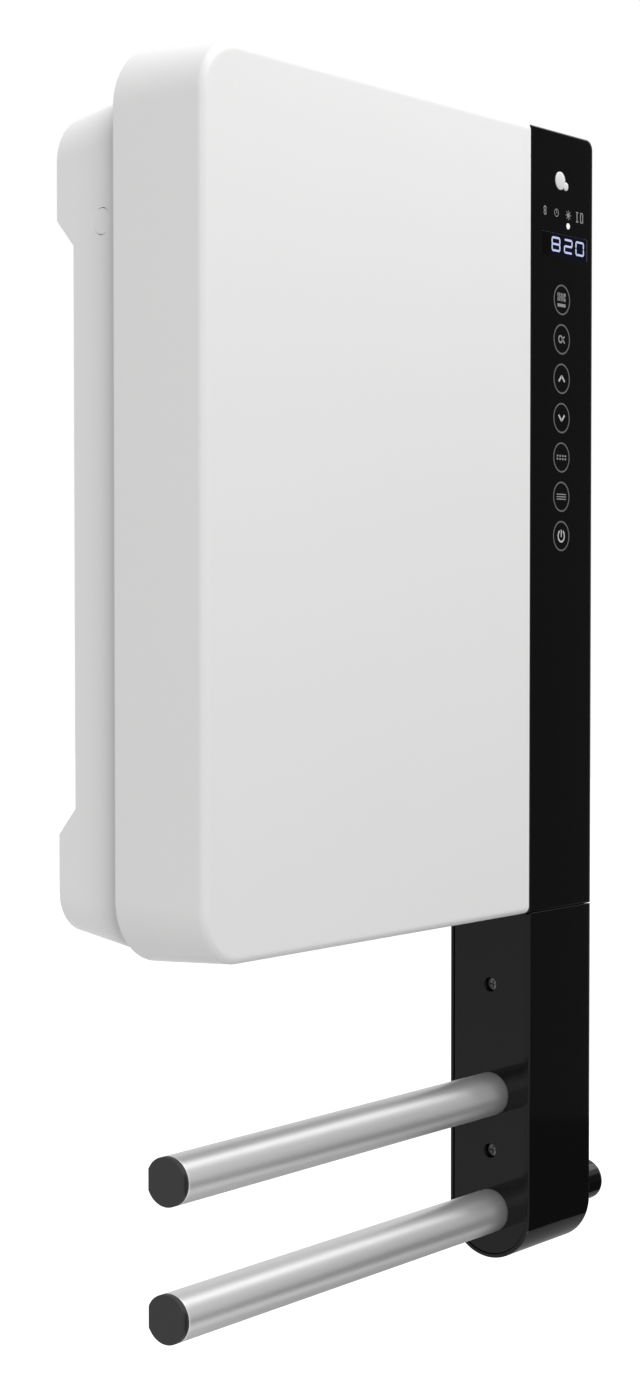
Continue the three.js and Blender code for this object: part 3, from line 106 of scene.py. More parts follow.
class HeaterSizes(bpy.types.PropertyGroup):
    face_corner: length("Face corner", "Corner radius of the white front face", 0.027, 0.002)
    rim_corner: length("Rim corner", "Corner radius of the cover's back edge", 0.034, 0.002)
    face_edge: length("Face edge", "Rounding between the front face and its sides", 0.0036, 0.0005)
    top_edge: length("Top edge", "Rounding between the front face and the top", 0.0048, 0.0005)
    cover_flare: length("Cover flare", "How far the cover's sides lean out at the back", 0.0032, 0.0)
    shell_wall: length("Cover wall", "Wall of the white front cover", 0.0025, 0.001)
    column_wall: length("Column wall", "Wall of the black column", 0.0022, 0.001)
    column_edge: length("Column edge", "Rounding along the black column's edges", 0.0009, 0.0002)
    panel_corner: length("Panel corner", "Radius of the column's upper right corner", 0.006, 0.001)
    key_diameter: length("Key diameter", "Outside of the ring printed round a key", 0.0175, 0.008)
    key_pitch: length("Key pitch", "From one touch key to the next", 0.02271, 0.01)
    key_count: IntProperty(
        name="Keys", description="Number of touch keys", default=7, min=1, max=7)
    digit_height: length("Digit height", "Height of the display's digits", 0.0073, 0.004)


class HeaterColours(bpy.types.PropertyGroup):
    shell: tone("White housing", "Satin white of the cover and the casing", (0.80, 0.80, 0.797))
    gloss: tone("Gloss black", "Polished black of the control column", (0.0042, 0.0042, 0.0044))
    cap: tone("Dark plastic", "Matt end caps of the towel bars", (0.027, 0.027, 0.028))
    tube: tone("Brushed tube", "Satin aluminium of the towel bars", (0.60, 0.60, 0.60))
    print_grey: tone("Print", "Grey print of the keys and symbols", (0.30, 0.30, 0.30))
    digits: tone("Digits", "Light of the display's digits", (0.44, 0.48, 0.74))


# ---- Shapes ----


def grid_faces(rows, columns):
    """Quads between neighbouring rows of a grid whose columns close on themselves."""
    row = np.arange(rows - 1)[:, None]
    column = np.arange(columns)[None, :]
    after = (column + 1) % columns
    start, end = row * columns, (row + 1) * columns
    return np.stack([start + column, start + after, end + after, end + column], -1).reshape(-1, 4)


def skinned(rings):
    """Closed skin over a stack of rings: point (i, j) is place j of ring i, and each end closes
    at the mean point of its ring."""
    ends = [np.broadcast_to(rings[k].mean(0), rings[k].shape)[None] for k in (0, -1)]
    rows = np.concatenate([ends[0], rings, ends[1]])
    return rows.reshape(-1, 3), grid_faces(rows.shape[0], rows.shape[1])


def gathered(parts):
    """Several (points, faces) pairs as one."""
    counts = np.cumsum([0] + [len(points) for points, _ in parts[:-1]])
    return (np.concatenate([points for points, _ in parts]),
            np.concatenate([faces + start for (_, faces), start in zip(parts, counts)]))


def welded(points, faces):
    """Merges points that coincide to a tenth of a micrometre, and turns the quads that this
    pinches into triangles."""
    _, first, back = np.unique(
        np.round(points * 1e7).astype(np.int64), axis=0, return_index=True, return_inverse=True)
    faces = back.reshape(-1)[faces]
    kept = faces != np.roll(faces, -1, axis=1)
    corners = kept.sum(1)
    triangles = faces[corners == 3][kept[corners == 3]].reshape(-1, 3)
    return points[first], faces[corners == 4].tolist() + triangles.tolist()


def outward(points, faces):
    """Turns the faces so that the signed volume, the sum over all triangles of the triple
    product of their corners, is positive."""
    a, b, c, d = (points[faces[:, k]] for k in range(4))
    volume = np.einsum("ij,ij->", a, np.cross(b, c)) + np.einsum("ij,ij->", a, np.cross(c, d))
    return faces if volume > 0 else faces[:, ::-1]


def rounded_rim(face, radius, edge, inward, steps):
    """Profile of a rim from its face out to its full radius: at angle t it lies
    edge (1 - cos t) past the face, at the radius less edge (1 - sin t)."""
    turn = np.linspace(0, math.pi / 2, steps + 1)
    return np.stack([face + inward * edge * (1 - np.cos(turn)),
                     radius - edge * (1 - np.sin(turn))], 1)


def end_rows(face, edge, inward, steps=5):
    """Places and insets of the rows at one end of a block: one that keeps the flat face flat,
    the rounded edge, and one where the sides have begun to run straight."""
    rows = np.concatenate([[[face, -edge - FLAT_LEAD]], rounded_rim(face, 0, edge, inward, steps),
                           [[face + inward * (edge + FLAT_LEAD), 0]]])
    return rows * (1, -1)


def outline(left, right, bottom, top, radii, steps=12):
    """Rounded rectangles, one for each row, anticlockwise from the lower left: a corner is its
    centre plus radius times (cos t, sin t) over a quarter turn, and each straight side has a
    point just past its corners. The arguments are single numbers or one number for each row."""
    turn = np.linspace(0, math.pi / 2, steps + 1)
    left, right, bottom, top, *radii = (rows[:, None] for rows in np.broadcast_arrays(
        *(np.atleast_1d(value).astype(float) for value in (left, right, bottom, top, *radii))))
    places = ((left, -1, bottom, -1), (right, 1, bottom, -1), (right, 1, top, 1), (left, -1, top, 1))
    corners = []
    for quarter, ((x, side, z, end), radius) in enumerate(zip(places, radii)):
        r = np.maximum(radius, 1e-5)
        angle = math.pi + quarter * math.pi / 2 + turn
        corners.append(np.stack([x - side * r + r * np.cos(angle), z - end * r + r * np.sin(angle)], -1))
    points = []
    for corner, following in zip(corners, corners[1:] + corners[:1]):
        side = following[:, :1] - corner[:, -1:]
        reach = np.linalg.norm(side, axis=-1, keepdims=True)
        lead = side * np.minimum(FLAT_LEAD / np.maximum(reach, 1e-9), 0.4)
        points += [corner, corner[:, -1:] + lead, following[:, :1] - lead]
    return np.concatenate(points, 1)


def along(axis, places, outlines):
    """Stands flat outlines up along an axis: (y, z) along x, or (x, z) along y."""
    rows = np.broadcast_to(np.asarray(places)[:, None, None], (*outlines.shape[:2], 1))
    u, v = outlines[..., :1], outlines[..., 1:]
    return np.concatenate((rows, u, v) if axis == "x" else (u, rows, v), -1)


def block(axis, span, rectangle, radii, edges=(0.0, 0.0), steps=12):
    """A block with rounded corners along an axis and rounded edges at its two ends."""
    first, last = (max(edge, 1e-5) for edge in edges)
    places, insets = np.concatenate([end_rows(span[0], first, 1), end_rows(span[1], last, -1)[::-1]]).T
    left, right, bottom, top = rectangle
    flat = outline(left + insets, right - insets, bottom + insets, top - insets,
                   [radius - insets for radius in radii], steps)
    return skinned(along(axis, places, flat))


def bare_box(x, y, z):
    """A plain box for cutting: four corners at each end of y."""
    flat = np.array([[x[0], z[0]], [x[1], z[0]], [x[1], z[1]], [x[0], z[1]]])
    return skinned(along("y", y, np.broadcast_to(flat, (2, 4, 2))))


def turned(profile, centre, axis="x", steps=64, flat=None, hollow=False):
    """A turned piece: place p and radius r of the profile go round the axis by an angle t as
    (p, r cos t, r sin t). With flats, r is at most flat / |cos t|. A hollow piece has a profile
    that closes on itself."""
    profile = np.asarray(profile, float)
    angle = np.linspace(0, 2 * math.pi, steps, endpoint=False)
    radius = np.broadcast_to(profile[:, 1:], (len(profile), steps))
    if flat is not None:
        widest = profile[:, 1].max()
        corner = math.acos(flat / widest)
        angle = np.sort(np.concatenate([angle, [corner, math.pi - corner, math.pi + corner,
                                                2 * math.pi - corner]]))
        limit = (flat - (widest - profile[:, 1:])) / np.abs(np.cos(angle))[None, :]
        radius = np.minimum(profile[:, 1:], np.maximum(limit, 0))
    rings = along(axis, profile[:, 0], np.stack(
        [centre[0] + radius * np.cos(angle), centre[1] + radius * np.sin(angle)], -1))
    return (rings.reshape(-1, 3), grid_faces(*rings.shape[:2])) if hollow else skinned(rings)


def pin(span, radius, centre, axis="x", steps=40):
    """A plain round pin along an axis, for cutting holes and adding bosses."""
    return turned([[span[0], radius], [span[1], radius]], centre, axis, steps)


def sleeve(span, centre, outer, inner, edge):
    """A tube along x: a closed profile goes out along the outer wall, round each rim by a small
    quarter circle, and back along the bore."""
    start, end = span
    profile = np.concatenate([
        rounded_rim(start, outer, edge, 1, 3),
        [[start + edge + FLAT_LEAD, outer], [end - edge - FLAT_LEAD, outer]],
        rounded_rim(end, outer, edge, -1, 3)[::-1],
        [[end, inner], [end - FLAT_LEAD, inner], [start + FLAT_LEAD, inner], [start, inner],
         [start, outer - edge]]])
    return turned(profile, centre, steps=96, hollow=True)


def stroke(path, width):
    """A printed line: a flat rectangle carried along an (x, z) path in the front face, each
    corner the path's point plus or minus half the width along the path's normal. A path that
    ends where it starts is closed."""
    path = np.asarray(path, float)
    closed = np.allclose(path[0], path[-1])
    path = path[:-1] if closed else path
    before = np.roll(path, 1, axis=0) if closed else np.concatenate([path[:1], path[:-1]])
    after = np.roll(path, -1, axis=0) if closed else np.concatenate([path[1:], path[-1:]])
    run = after - before
    run /= np.linalg.norm(run, axis=1)[:, None]
    normal = np.stack([-run[:, 1], run[:, 0]], 1) * width / 2
    near, far = FRONT_Y - PRINT_DEPTH, FRONT_Y + PRINT_DEPTH
    corners = [(path + normal, near), (path - normal, near), (path - normal, far), (path + normal, far)]
    rings = np.stack([
        np.stack([point[:, 0], np.full(len(path), y), point[:, 1]], 1) for point, y in corners], 1)
    if closed:
        rings = np.concatenate([rings, rings[:1]])
        return rings.reshape(-1, 3), grid_faces(*rings.shape[:2])
    return skinned(rings)


def circle(centre, radius, start=0.0, end=360.0, steps=48):
    """Points of an arc, from and to an angle in degrees: the centre plus radius times
    (cos t, sin t)."""
    angle = np.radians(np.linspace(start, end, steps))
    return np.stack([centre[0] + radius * np.cos(angle), centre[1] + radius * np.sin(angle)], 1)


# ---- Pieces ----


def placed(name, data):
    item = bpy.data.objects.new(name, data)
    bpy.context.scene.collection.objects.link(item)
    return item


def new_object(name, shape):
    """An object from a shape that is measured from the foot of the front face."""
    points, faces = shape
    points, polygons = welded(points, outward(points, faces))
    mesh = bpy.data.meshes.new(name)
    mesh.from_pydata((points - (0, 0, HANG)).tolist(), [], polygons)
    mesh.validate()
    return placed(name, mesh)


def apply_modifiers(piece):
    """Puts a piece's live modifiers into its mesh."""
    mesh = bpy.data.meshes.new_from_object(
        piece.evaluated_get(bpy.context.evaluated_depsgraph_get()))
    old = piece.data
    piece.modifiers.clear()
    piece.data = mesh
    bpy.data.meshes.remove(old)
    mesh.name = piece.name


def carve(piece, cutters, operation="DIFFERENCE"):
    """Cuts shapes out of a piece, or adds them to it, one after another."""
    for number, shape in enumerate(cutters):
        tool = new_object(f"{piece.name}_tool_{number}", shape)
        modifier = piece.modifiers.new("Carve", "BOOLEAN")
        modifier.operation = operation
        modifier.solver = "EXACT"
        modifier.object = tool
        apply_modifiers(piece)
        mesh = tool.data
        bpy.data.objects.remove(tool)
        bpy.data.meshes.remove(mesh)
        if len(piece.data.polygons) < 6:
            raise RuntimeError(f"{piece.name} lost its surface in cut {number}")


def finish(piece, material, body="housing", replaces=(), sharp=32):
    """Smooth shading up to an angle in degrees, the material, and what the frame wants to know."""
    mesh = piece.data
    mesh.polygons.foreach_set("use_smooth", [True] * len(mesh.polygons))
    mesh.set_sharp_from_angle(angle=math.radians(sharp))
    mesh.materials.clear()
    mesh.materials.append(material)
    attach(piece, body)
    if replaces:
        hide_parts(*replaces)


def stand_in(node, shape, slot, cuts=(), joined=(), material=None):
    """A finer piece that stands for a frame node: a shape, with others joined to it and cut out
    of it. Its finish is that of its slot unless it has one of its own."""
    piece = new_object(f"{node}_finished", shape)
    carve(piece, joined, "UNION")
    carve(piece, cuts)
    finish(piece, material or finishes()[slot], replaces=(node,))


def softened(node, slot, body="housing", material=None):
    """A merged copy of a frame node with smooth shading, which stands for the node. Its flat
    faces are kept flat by weighted normals."""
    name = f"{node}_finished"
    mesh = frame["nodes"][node].data.copy()
    mesh.name = name
    flat_normals = mesh.attributes.get("custom_normal")
    if flat_normals:
        mesh.attributes.remove(flat_normals)
    work = bmesh.new()
    work.from_mesh(mesh)
    bmesh.ops.remove_doubles(work, verts=work.verts, dist=2e-6)
    bmesh.ops.dissolve_limit(work, angle_limit=math.radians(0.6), verts=work.verts, edges=work.edges)
    work.to_mesh(mesh)
    work.free()
    piece = placed(name, mesh)
    finish(piece, material or finishes()[slot], body, (node,), 38)
    weighted = piece.modifiers.new("Flat Faces", "WEIGHTED_NORMAL")
    weighted.keep_sharp = True
    weighted.weight = 100
    apply_modifiers(piece)


# ---- Materials ----


def new_group(name, inputs, outputs):
    """An empty shader node group. A socket's kind follows from its default: a colour has none,
    a direction has three numbers, and the rest have one."""
    tree = bpy.data.node_groups.new(name, "ShaderNodeTree")
    for label, default in inputs.items():
        kind = {type(None): "Color", tuple: "Vector"}.get(type(default), "Float")
        socket = tree.interface.new_socket(label, in_out="INPUT", socket_type=f"NodeSocket{kind}")
        if default is not None:
            socket.default_value = default
    for label in outputs:
        kind = "Color" if label == "Colour" else "Float"
        tree.interface.new_socket(label, in_out="OUTPUT", socket_type=f"NodeSocket{kind}")
    return tree, tree.nodes.new("NodeGroupInput").outputs, tree.nodes.new("NodeGroupOutput").inputs


def add_node(tree, kind, settings=(), links=()):
    """A node with its settings, given as (socket or attribute, value), and its incoming links,
    given as (socket, the socket that feeds it)."""
    node = tree.nodes.new(kind)
    for key, value in settings:
        if isinstance(key, str) and hasattr(node, key):
            setattr(node, key, value)
        else:
            node.inputs[key].default_value = value
    for key, source in links:
        tree.links.new(source, node.inputs[key])
    return node


def maths(tree, operation, *terms):
    """The result of a maths node. A term is a number or the socket that feeds it."""
    node = add_node(tree, "ShaderNodeMath", [("operation", operation)])
    for place, term in enumerate(terms):
        if isinstance(term, bpy.types.NodeSocket):
            tree.links.new(term, node.inputs[place])
        else:
            node.inputs[place].default_value = term
    return node.outputs[0]


def place_on_object(tree):
    return tree.nodes.new("ShaderNodeTexCoord").outputs["Object"]


def place_along(tree, axis):
    return add_node(tree, "ShaderNodeSeparateXYZ", (), [("Vector", place_on_object(tree))]).outputs[axis]


def scaled(tree, colour, factor):
    return add_node(tree, "ShaderNodeVectorMath", [("operation", "SCALE")],
                    [(0, colour), ("Scale", factor)]).outputs[0]


def add_drift(tree, given, result, noise):
    """Colour times 1 + drift (noise - 1/2), and roughness plus its own drift (noise - 1/2)."""
    centred = maths(tree, "SUBTRACT", noise, 0.5)
    shift = maths(tree, "MULTIPLY_ADD", centred, given["Colour Drift"], 1.0)
    rough = maths(tree, "MULTIPLY_ADD", centred, given["Roughness Drift"], given["Roughness"])
    tree.links.new(scaled(tree, given["Colour"], shift), result["Colour"])
    tree.links.new(rough, result["Roughness"])


def grain_group():
    """Moulded surface: fine noise gives the height of the grain, and broad noise lets colour
    and roughness drift a little."""
    tree, given, result = new_group("Moulded Grain", {
        "Colour": None, "Colour Drift": 0.03, "Roughness": 0.4, "Roughness Drift": 0.05,
        "Grain Size": 900.0, "Drift Size": 7.0}, ("Colour", "Roughness", "Height"))
    place = place_on_object(tree)
    grain = add_node(tree, "ShaderNodeTexNoise", [("Detail", 3.0), ("Roughness", 0.6)],
                     [("Vector", place), ("Scale", given["Grain Size"])])
    broad = add_node(tree, "ShaderNodeTexNoise", [("Detail", 2.0)],
                     [("Vector", place), ("Scale", given["Drift Size"])])
    add_drift(tree, given, result, broad.outputs["Fac"])
    tree.links.new(grain.outputs["Fac"], result["Height"])
    return tree


def drawn_group():
    """Drawn or brushed metal: noise squeezed across the drawing direction and stretched along
    it, so that it reads as fine lines."""
    tree, given, result = new_group("Drawn Lines", {
        "Colour": None, "Colour Drift": 0.1, "Roughness": 0.3, "Roughness Drift": 0.1,
        "Line Scale": (6.0, 900.0, 900.0)}, ("Colour", "Roughness", "Height"))
    stretched = add_node(tree, "ShaderNodeVectorMath", [("operation", "MULTIPLY")],
                         [(0, place_on_object(tree)), (1, given["Line Scale"])])
    lines = add_node(tree, "ShaderNodeTexNoise", [("Scale", 1.0), ("Detail", 4.0), ("Roughness", 0.7)],
                     [("Vector", stretched.outputs[0])]).outputs["Fac"]
    add_drift(tree, given, result, lines)
    tree.links.new(lines, result["Height"])
    return tree


def banded_group():
    """Stacked sheets or windings: a sine wave along one direction mixes two colours and gives
    the height of the bands."""
    tree, given, result = new_group("Fine Bands", {
        "Ridge Colour": None, "Groove Colour": None, "Band Direction": (1.0, 0.0, 0.0)},
        ("Colour", "Height"))
    run = add_node(tree, "ShaderNodeVectorMath", [("operation", "DOT_PRODUCT")],
                   [(0, place_on_object(tree)), (1, given["Band Direction"])])
    share = maths(tree, "MULTIPLY_ADD", maths(tree, "SINE", run.outputs["Value"]), 0.5, 0.5)
    mixed = add_node(tree, "ShaderNodeMix", [("data_type", "RGBA")],
                     [(0, share), (6, given["Groove Colour"]), (7, given["Ridge Colour"])])
    tree.links.new(mixed.outputs[2], result["Colour"])
    tree.links.new(share, result["Height"])
    return tree


def painted_seam_shade_group():
    """Painted shade in the corner behind the cover: the colour is scaled by 1 - depth before the
    start, and by 1 - depth * exp(-(y - start) / reach) behind it."""
    tree, given, result = new_group("Painted Seam Shade", {
        "Colour": None, "Start": 0.0, "Reach": 0.008, "Depth": 0.3}, ("Colour",))
    run = maths(tree, "SUBTRACT", given["Start"], place_along(tree, "Y"))
    capped = maths(tree, "MINIMUM", maths(tree, "DIVIDE", run, given["Reach"]), 0.0)
    depth = maths(tree, "MULTIPLY", maths(tree, "EXPONENT", capped), given["Depth"])
    share = maths(tree, "SUBTRACT", 1.0, depth)
    tree.links.new(scaled(tree, given["Colour"], share), result["Colour"])
    return tree


def backlight_group():
    """Light behind the display's window: it rises from dark over a short way along x, so that
    the unused first digit stays dark."""
    tree, given, result = new_group(
        "Backlight", {"Colour": None, "Start": 0.0, "End": 0.01}, ("Colour",))
    share = add_node(tree, "ShaderNodeMapRange", [("interpolation_type", "SMOOTHSTEP")], [
        ("Value", place_along(tree, "X")), ("From Min", given["Start"]), ("From Max", given["End"])])
    tree.links.new(scaled(tree, given["Colour"], share.outputs["Result"]), result["Colour"])
    return tree


SHARED_GROUPS = {
    "Moulded Grain": grain_group,
    "Drawn Lines": drawn_group,
    "Fine Bands": banded_group,
    "Painted Seam Shade": painted_seam_shade_group,
    "Backlight": backlight_group,
}


def shared_effect(tree, name, inputs):
    """A node of a shared group, which is built when it is first asked for."""
    effect = tree.nodes.new("ShaderNodeGroup")
    effect.node_tree = bpy.data.node_groups.get(name) or SHARED_GROUPS[name]()
    for key, value in inputs.items():
        effect.inputs[key].default_value = value
    return effect


def empty_material(name):
    material = bpy.data.materials.new(name)
    material.use_nodes = True
    material.node_tree.nodes.clear()
    return material


def surface(name, group, inputs, uniform, bump=0.0, bump_distance=0.0002):
    """A Principled material whose colour, roughness and bump come from a shared group, with
    what is the same all over set on the shader's own sockets."""
    material = bpy.data.materials.get(name)
    if material:
        return material
    material = empty_material(name)
    tree = material.node_tree
    shader = add_node(tree, "ShaderNodeBsdfPrincipled", list(uniform.items()))
    add_node(tree, "ShaderNodeOutputMaterial", (), [("Surface", shader.outputs[0])])
    effect = shared_effect(tree, group, inputs)
    tree.links.new(effect.outputs["Colour"], shader.inputs["Base Color"])
    if "Roughness" in effect.outputs:
        tree.links.new(effect.outputs["Roughness"], shader.inputs["Roughness"])
    if bump:
        relief = add_node(tree, "ShaderNodeBump", [("Strength", bump), ("Distance", bump_distance)],
                          [("Height", effect.outputs["Height"])])
        tree.links.new(relief.outputs[0], shader.inputs["Normal"])
    return material


def moulded(name, colour, roughness, uniform=None, drift=0.03, grain=900.0, bump=0.06,
            rough_drift=0.05, drift_size=7.0):
    return surface(name, "Moulded Grain", {
        "Colour": (*colour, 1), "Colour Drift": drift, "Roughness": roughness,
        "Roughness Drift": rough_drift, "Grain Size": grain, "Drift Size": drift_size},
        uniform or {}, bump)


def drawn(name, colour, roughness, lines, metallic=1.0, drift=0.12, bump=0.05, rough_drift=0.12):
    return surface(name, "Drawn Lines", {
        "Colour": (*colour, 1), "Colour Drift": drift, "Roughness": roughness,
        "Roughness Drift": rough_drift, "Line Scale": lines}, {"Metallic": metallic}, bump, 0.00005)


def banded(name, ridge, groove, direction, roughness, metallic, bump):
    return surface(name, "Fine Bands", {
        "Ridge Colour": (*ridge, 1), "Groove Colour": (*groove, 1), "Band Direction": direction},
        {"Metallic": metallic, "Roughness": roughness}, bump)


def satin_white(name, colour):
    return moulded(name, colour, 0.38, {"Specular IOR Level": 0.4}, drift=0.012, grain=1400.0, bump=0.05)


def finish_nodes(material):
    """A finish's node tree, its shader, and the shared group that gives its tone."""
    tree = material.node_tree
    return tree, *(next(node for node in tree.nodes if node.type == kind)
                   for kind in ("BSDF_PRINCIPLED", "GROUP"))


def with_painted_seam_shade(name, colour):
    """Satin white with a painted shade towards the cover's back edge."""
    material = satin_white(name, colour)
    tree, shader, plain = finish_nodes(material)
    # painted shade: the casing's colour is darkened towards the cover's back edge
    seam = shared_effect(tree, "Painted Seam Shade", {"Start": RIM_Y + 0.010, "Reach": 0.009, "Depth": 0.38})
    tree.links.new(plain.outputs["Colour"], seam.inputs["Colour"])
    tree.links.new(seam.outputs["Colour"], shader.inputs["Base Color"])
    return material


def glowing(name, colour, strength):
    """A lit piece: the moulded group gives its tone, and the same tone feeds its light."""
    material = moulded(name, colour, 0.3, {"Emission Strength": strength}, drift=0.08, bump=0.0)
    tree, shader, plain = finish_nodes(material)
    tree.links.new(plain.outputs["Colour"], shader.inputs["Emission Color"])
    return material


def backlit(name, base, light, span):
    """A smoked window over a weak light that fills part of its length."""
    material = moulded(name, base, 0.07, {"Specular IOR Level": 0.16, "Emission Strength": 1.0},
                       drift=0.1, bump=0.0)
    tree, shader, _ = finish_nodes(material)
    glow = shared_effect(tree, "Backlight", {"Colour": (*light, 1), "Start": span[0], "End": span[1]})
    tree.links.new(glow.outputs["Colour"], shader.inputs["Emission Color"])
    return material


def finishes():
    """Every finish of the heater by its slot in the record."""
    colours = bpy.context.scene.heater_colours
    return {
        "white_shell": satin_white("Satin White", colours.shell),
        "gloss_black": moulded("Gloss Black", colours.gloss, 0.07, {"Specular IOR Level": 0.16},
                               0.1, 260.0, 0.004, 0.03),
        "dark_plastic": moulded("Dark Plastic", colours.cap, 0.62, {"Specular IOR Level": 0.3},
                                0.08, 1500.0, 0.1),
        "brushed_tube": drawn("Brushed Tube", colours.tube, 0.42, (5.0, 1100.0, 1100.0),
                              metallic=0.82, drift=0.05, rough_drift=0.10),
        "zinc_steel": drawn("Zinc Steel", (0.55, 0.56, 0.57), 0.42, (90.0, 90.0, 90.0), drift=0.3,
                            rough_drift=0.25),
        "smoked_window": moulded("Smoked Window", (0.004, 0.005, 0.012), 0.06,
                                 {"Specular IOR Level": 0.3}, drift=0.2, bump=0.002),
        "milky_lens": moulded("Milky Lens", (0.66, 0.67, 0.66), 0.3, None, 0.1, 300.0, 0.02),
        "circuit_board": moulded("Circuit Board", (0.022, 0.14, 0.06), 0.35, None, 0.9, 120.0, 0.15,
                                 drift_size=260.0),
        "copper_wire": banded("Copper Wire", (0.62, 0.26, 0.11), (0.20, 0.07, 0.03),
                              (0.0, 5200.0, 900.0), 0.35, 0.9, 0.5),
        "motor_steel": banded("Motor Steel", (0.34, 0.35, 0.37), (0.12, 0.12, 0.13),
                              (9000.0, 0.0, 0.0), 0.45, 0.85, 0.4),
        "wheel_plastic": moulded("Wheel Plastic", (0.075, 0.08, 0.085), 0.5, drift=0.15, bump=0.1),
        "fin_aluminium": drawn("Fin Aluminium", (0.66, 0.67, 0.69), 0.38, (40.0, 700.0, 120.0),
                               drift=0.25),
        "heater_mount": moulded("Heater Mount", (0.47, 0.38, 0.25), 0.7, None, 0.35, 500.0, 0.2,
                                drift_size=60.0),
        "rubber_grommet": moulded("Rubber Grommet", (0.012, 0.012, 0.012), 0.75, None, 0.2, 700.0, 0.15),
        "filter_net": moulded("Filter Frame", (0.26, 0.28, 0.30), 0.6, drift=0.12, bump=0.1),
        "terminal_plastic": moulded("Terminal Plastic", (0.72, 0.70, 0.62), 0.45, drift=0.06),
    }


# ---- White housing ----


class HEATER_OT_front_cover(bpy.types.Operator):
    """Builds the white front cover"""

    bl_idname = "heater.front_cover"
    bl_label = "Front cover"

    def execute(self, context):
        """The outside is a stack of rounded rectangles from the face to the back edge. At depth
        y the sides have grown by flare * (y - front) / depth, and the edge is a quarter circle."""
        sizes = context.scene.heater_sizes
        wall, flare, rim, corner, flange = sizes.shell_wall, sizes.cover_flare, 0.0005, 0.0006, 0.002
        half = float(PANEL_HIGH[0])
        right = float(PANEL_LOW[0]) - FIT
        top = float(node_box("front_cover")[1][2]) - flare

        def rows(edge):
            return np.concatenate([end_rows(FRONT_Y, edge, 1, 8), end_rows(RIM_Y, rim, -1, 4)[:0:-1]]).T

        def stack(y, side_inset, top_inset, right_x):
            lean = (y - FRONT_Y) / (RIM_Y - FRONT_Y)
            grow = flare * lean
            radius = sizes.face_corner + (sizes.rim_corner - sizes.face_corner) * lean - side_inset
            flat = outline(-half - grow + side_inset, right_x, -grow + side_inset,
                           top + grow - top_inset, [radius, corner, corner, radius], 16)
            return skinned(along("y", y, flat))

        y, side = rows(sizes.face_edge)
        upper = rows(sizes.top_edge)[1]
        cavity = stack(np.array([FRONT_Y + wall, RIM_Y + PAST]), wall, wall, right - wall)
        seam = bare_box((right - wall - PAST, right + PAST), (RIM_Y - wall - FIT, RIM_Y + PAST),
                        (wall - flare, top + flare - wall))
        low, high = node_box("outlet_grille")
        outlet = bare_box((low[0] + flange - FIT, high[0] - flange + FIT),
                          (low[1] + flange - FIT, high[1] - flange + FIT), (-0.01, wall + 0.004))
        stand_in("front_cover", stack(y, side, upper, right), "white_shell", [cavity, seam, outlet])
        return {"FINISHED"}


class HEATER_OT_rear_casing(bpy.types.Operator):
    """Builds the white rear casing, its caps and what sits in it"""

    bl_idname = "heater.rear_casing"
    bl_label = "Rear casing"

    def execute(self, context):
        lift, disc, edge, spigot_wall = 1.09, 0.002, 0.0005, 0.0014
        colour = [min(part * lift, 1.0) for part in context.scene.heater_colours.shell]
        # The casing's white is lift times the cover's, with painted shade towards the cover's back edge.
        white = with_painted_seam_shade("White Casing", colour)
        softened("rear_casing", "white_shell", material=white)
        softened("outlet_grille", "gloss_black")
        softened("wall_bracket", "zinc_steel")
        softened("cable_grommet", "rubber_grommet")
        softened("dust_filter", "filter_net", "filter")
        for side, name in ((-1, "side_cap_left"), (1, "side_cap_right")):
            low, high = node_box(name)
            radius = (high[2] - low[2]) / 2
            face, back = (high[0], low[0]) if side > 0 else (low[0], high[0])
            under, spigot = face - side * disc, radius - FIT
            profile = [[face, 0], [face, radius - edge - FLAT_LEAD],
                       *rounded_rim(face, radius, edge, -side, 4),
                       [under, radius], [under, spigot], [back, spigot],
                       [back, spigot - spigot_wall], [under, spigot - spigot_wall], [under, 0]]
            stand_in(name, turned(profile, node_centre(name)[1:], steps=48), "white_shell",
                     material=white)
        return {"FINISHED"}


# ---- Control column ----


def lens_place(node):
    """Middle (x, z) and radius of a round lens. A lens that is notched on its right still has
    its full height and left edge."""
    low, high = node_box(node)
    radius = (high[2] - low[2]) / 2
    return (low[0] + radius, (low[2] + high[2]) / 2), radius


class HEATER_OT_control_panel(bpy.types.Operator):
    """Builds the upper, glossy part of the control column"""

    bl_idname = "heater.control_panel"
    bl_label = "Control panel"

    def execute(self, context):
        sizes = context.scene.heater_sizes
        wall, front_wall, small, inner_corner = sizes.column_wall, 0.0025, 0.001, 0.0006
        left, right = float(PANEL_LOW[0]), float(PANEL_HIGH[0])
        bottom, top = float(PANEL_LOW[2]), float(PANEL_HIGH[2])
        outside = block("y", (FRONT_Y, RIM_Y), (left, right, bottom, top),
                        (small, small, sizes.panel_corner, small), (sizes.column_edge, 0.0003))
        cavity = block(
            "y", (FRONT_Y + front_wall, RIM_Y + PAST), (left + wall, right - wall, -0.03, top - wall),
            (inner_corner, inner_corner, sizes.panel_corner - wall, inner_corner))
        seam = bare_box((left - PAST, left + wall + PAST), (RIM_Y - front_wall - FIT, RIM_Y + PAST),
                        (-PAST, top - wall))
        through = (FRONT_Y - PAST, FRONT_Y + 0.004)
        low, high = node_box("display_window")
        opening = bare_box((low[0] - FIT, high[0] + FIT), through, (low[2] - FIT, high[2] + FIT))
        lenses = [lens_place(node) for node in ("sensor_lens", "light_sensor_lens", "status_light")]
        holes = [pin(through, radius + FIT, centre, "y", 48) for centre, radius in lenses]
        stand_in("control_panel", outside, "gloss_black", [cavity, seam, opening, *holes])
        return {"FINISHED"}


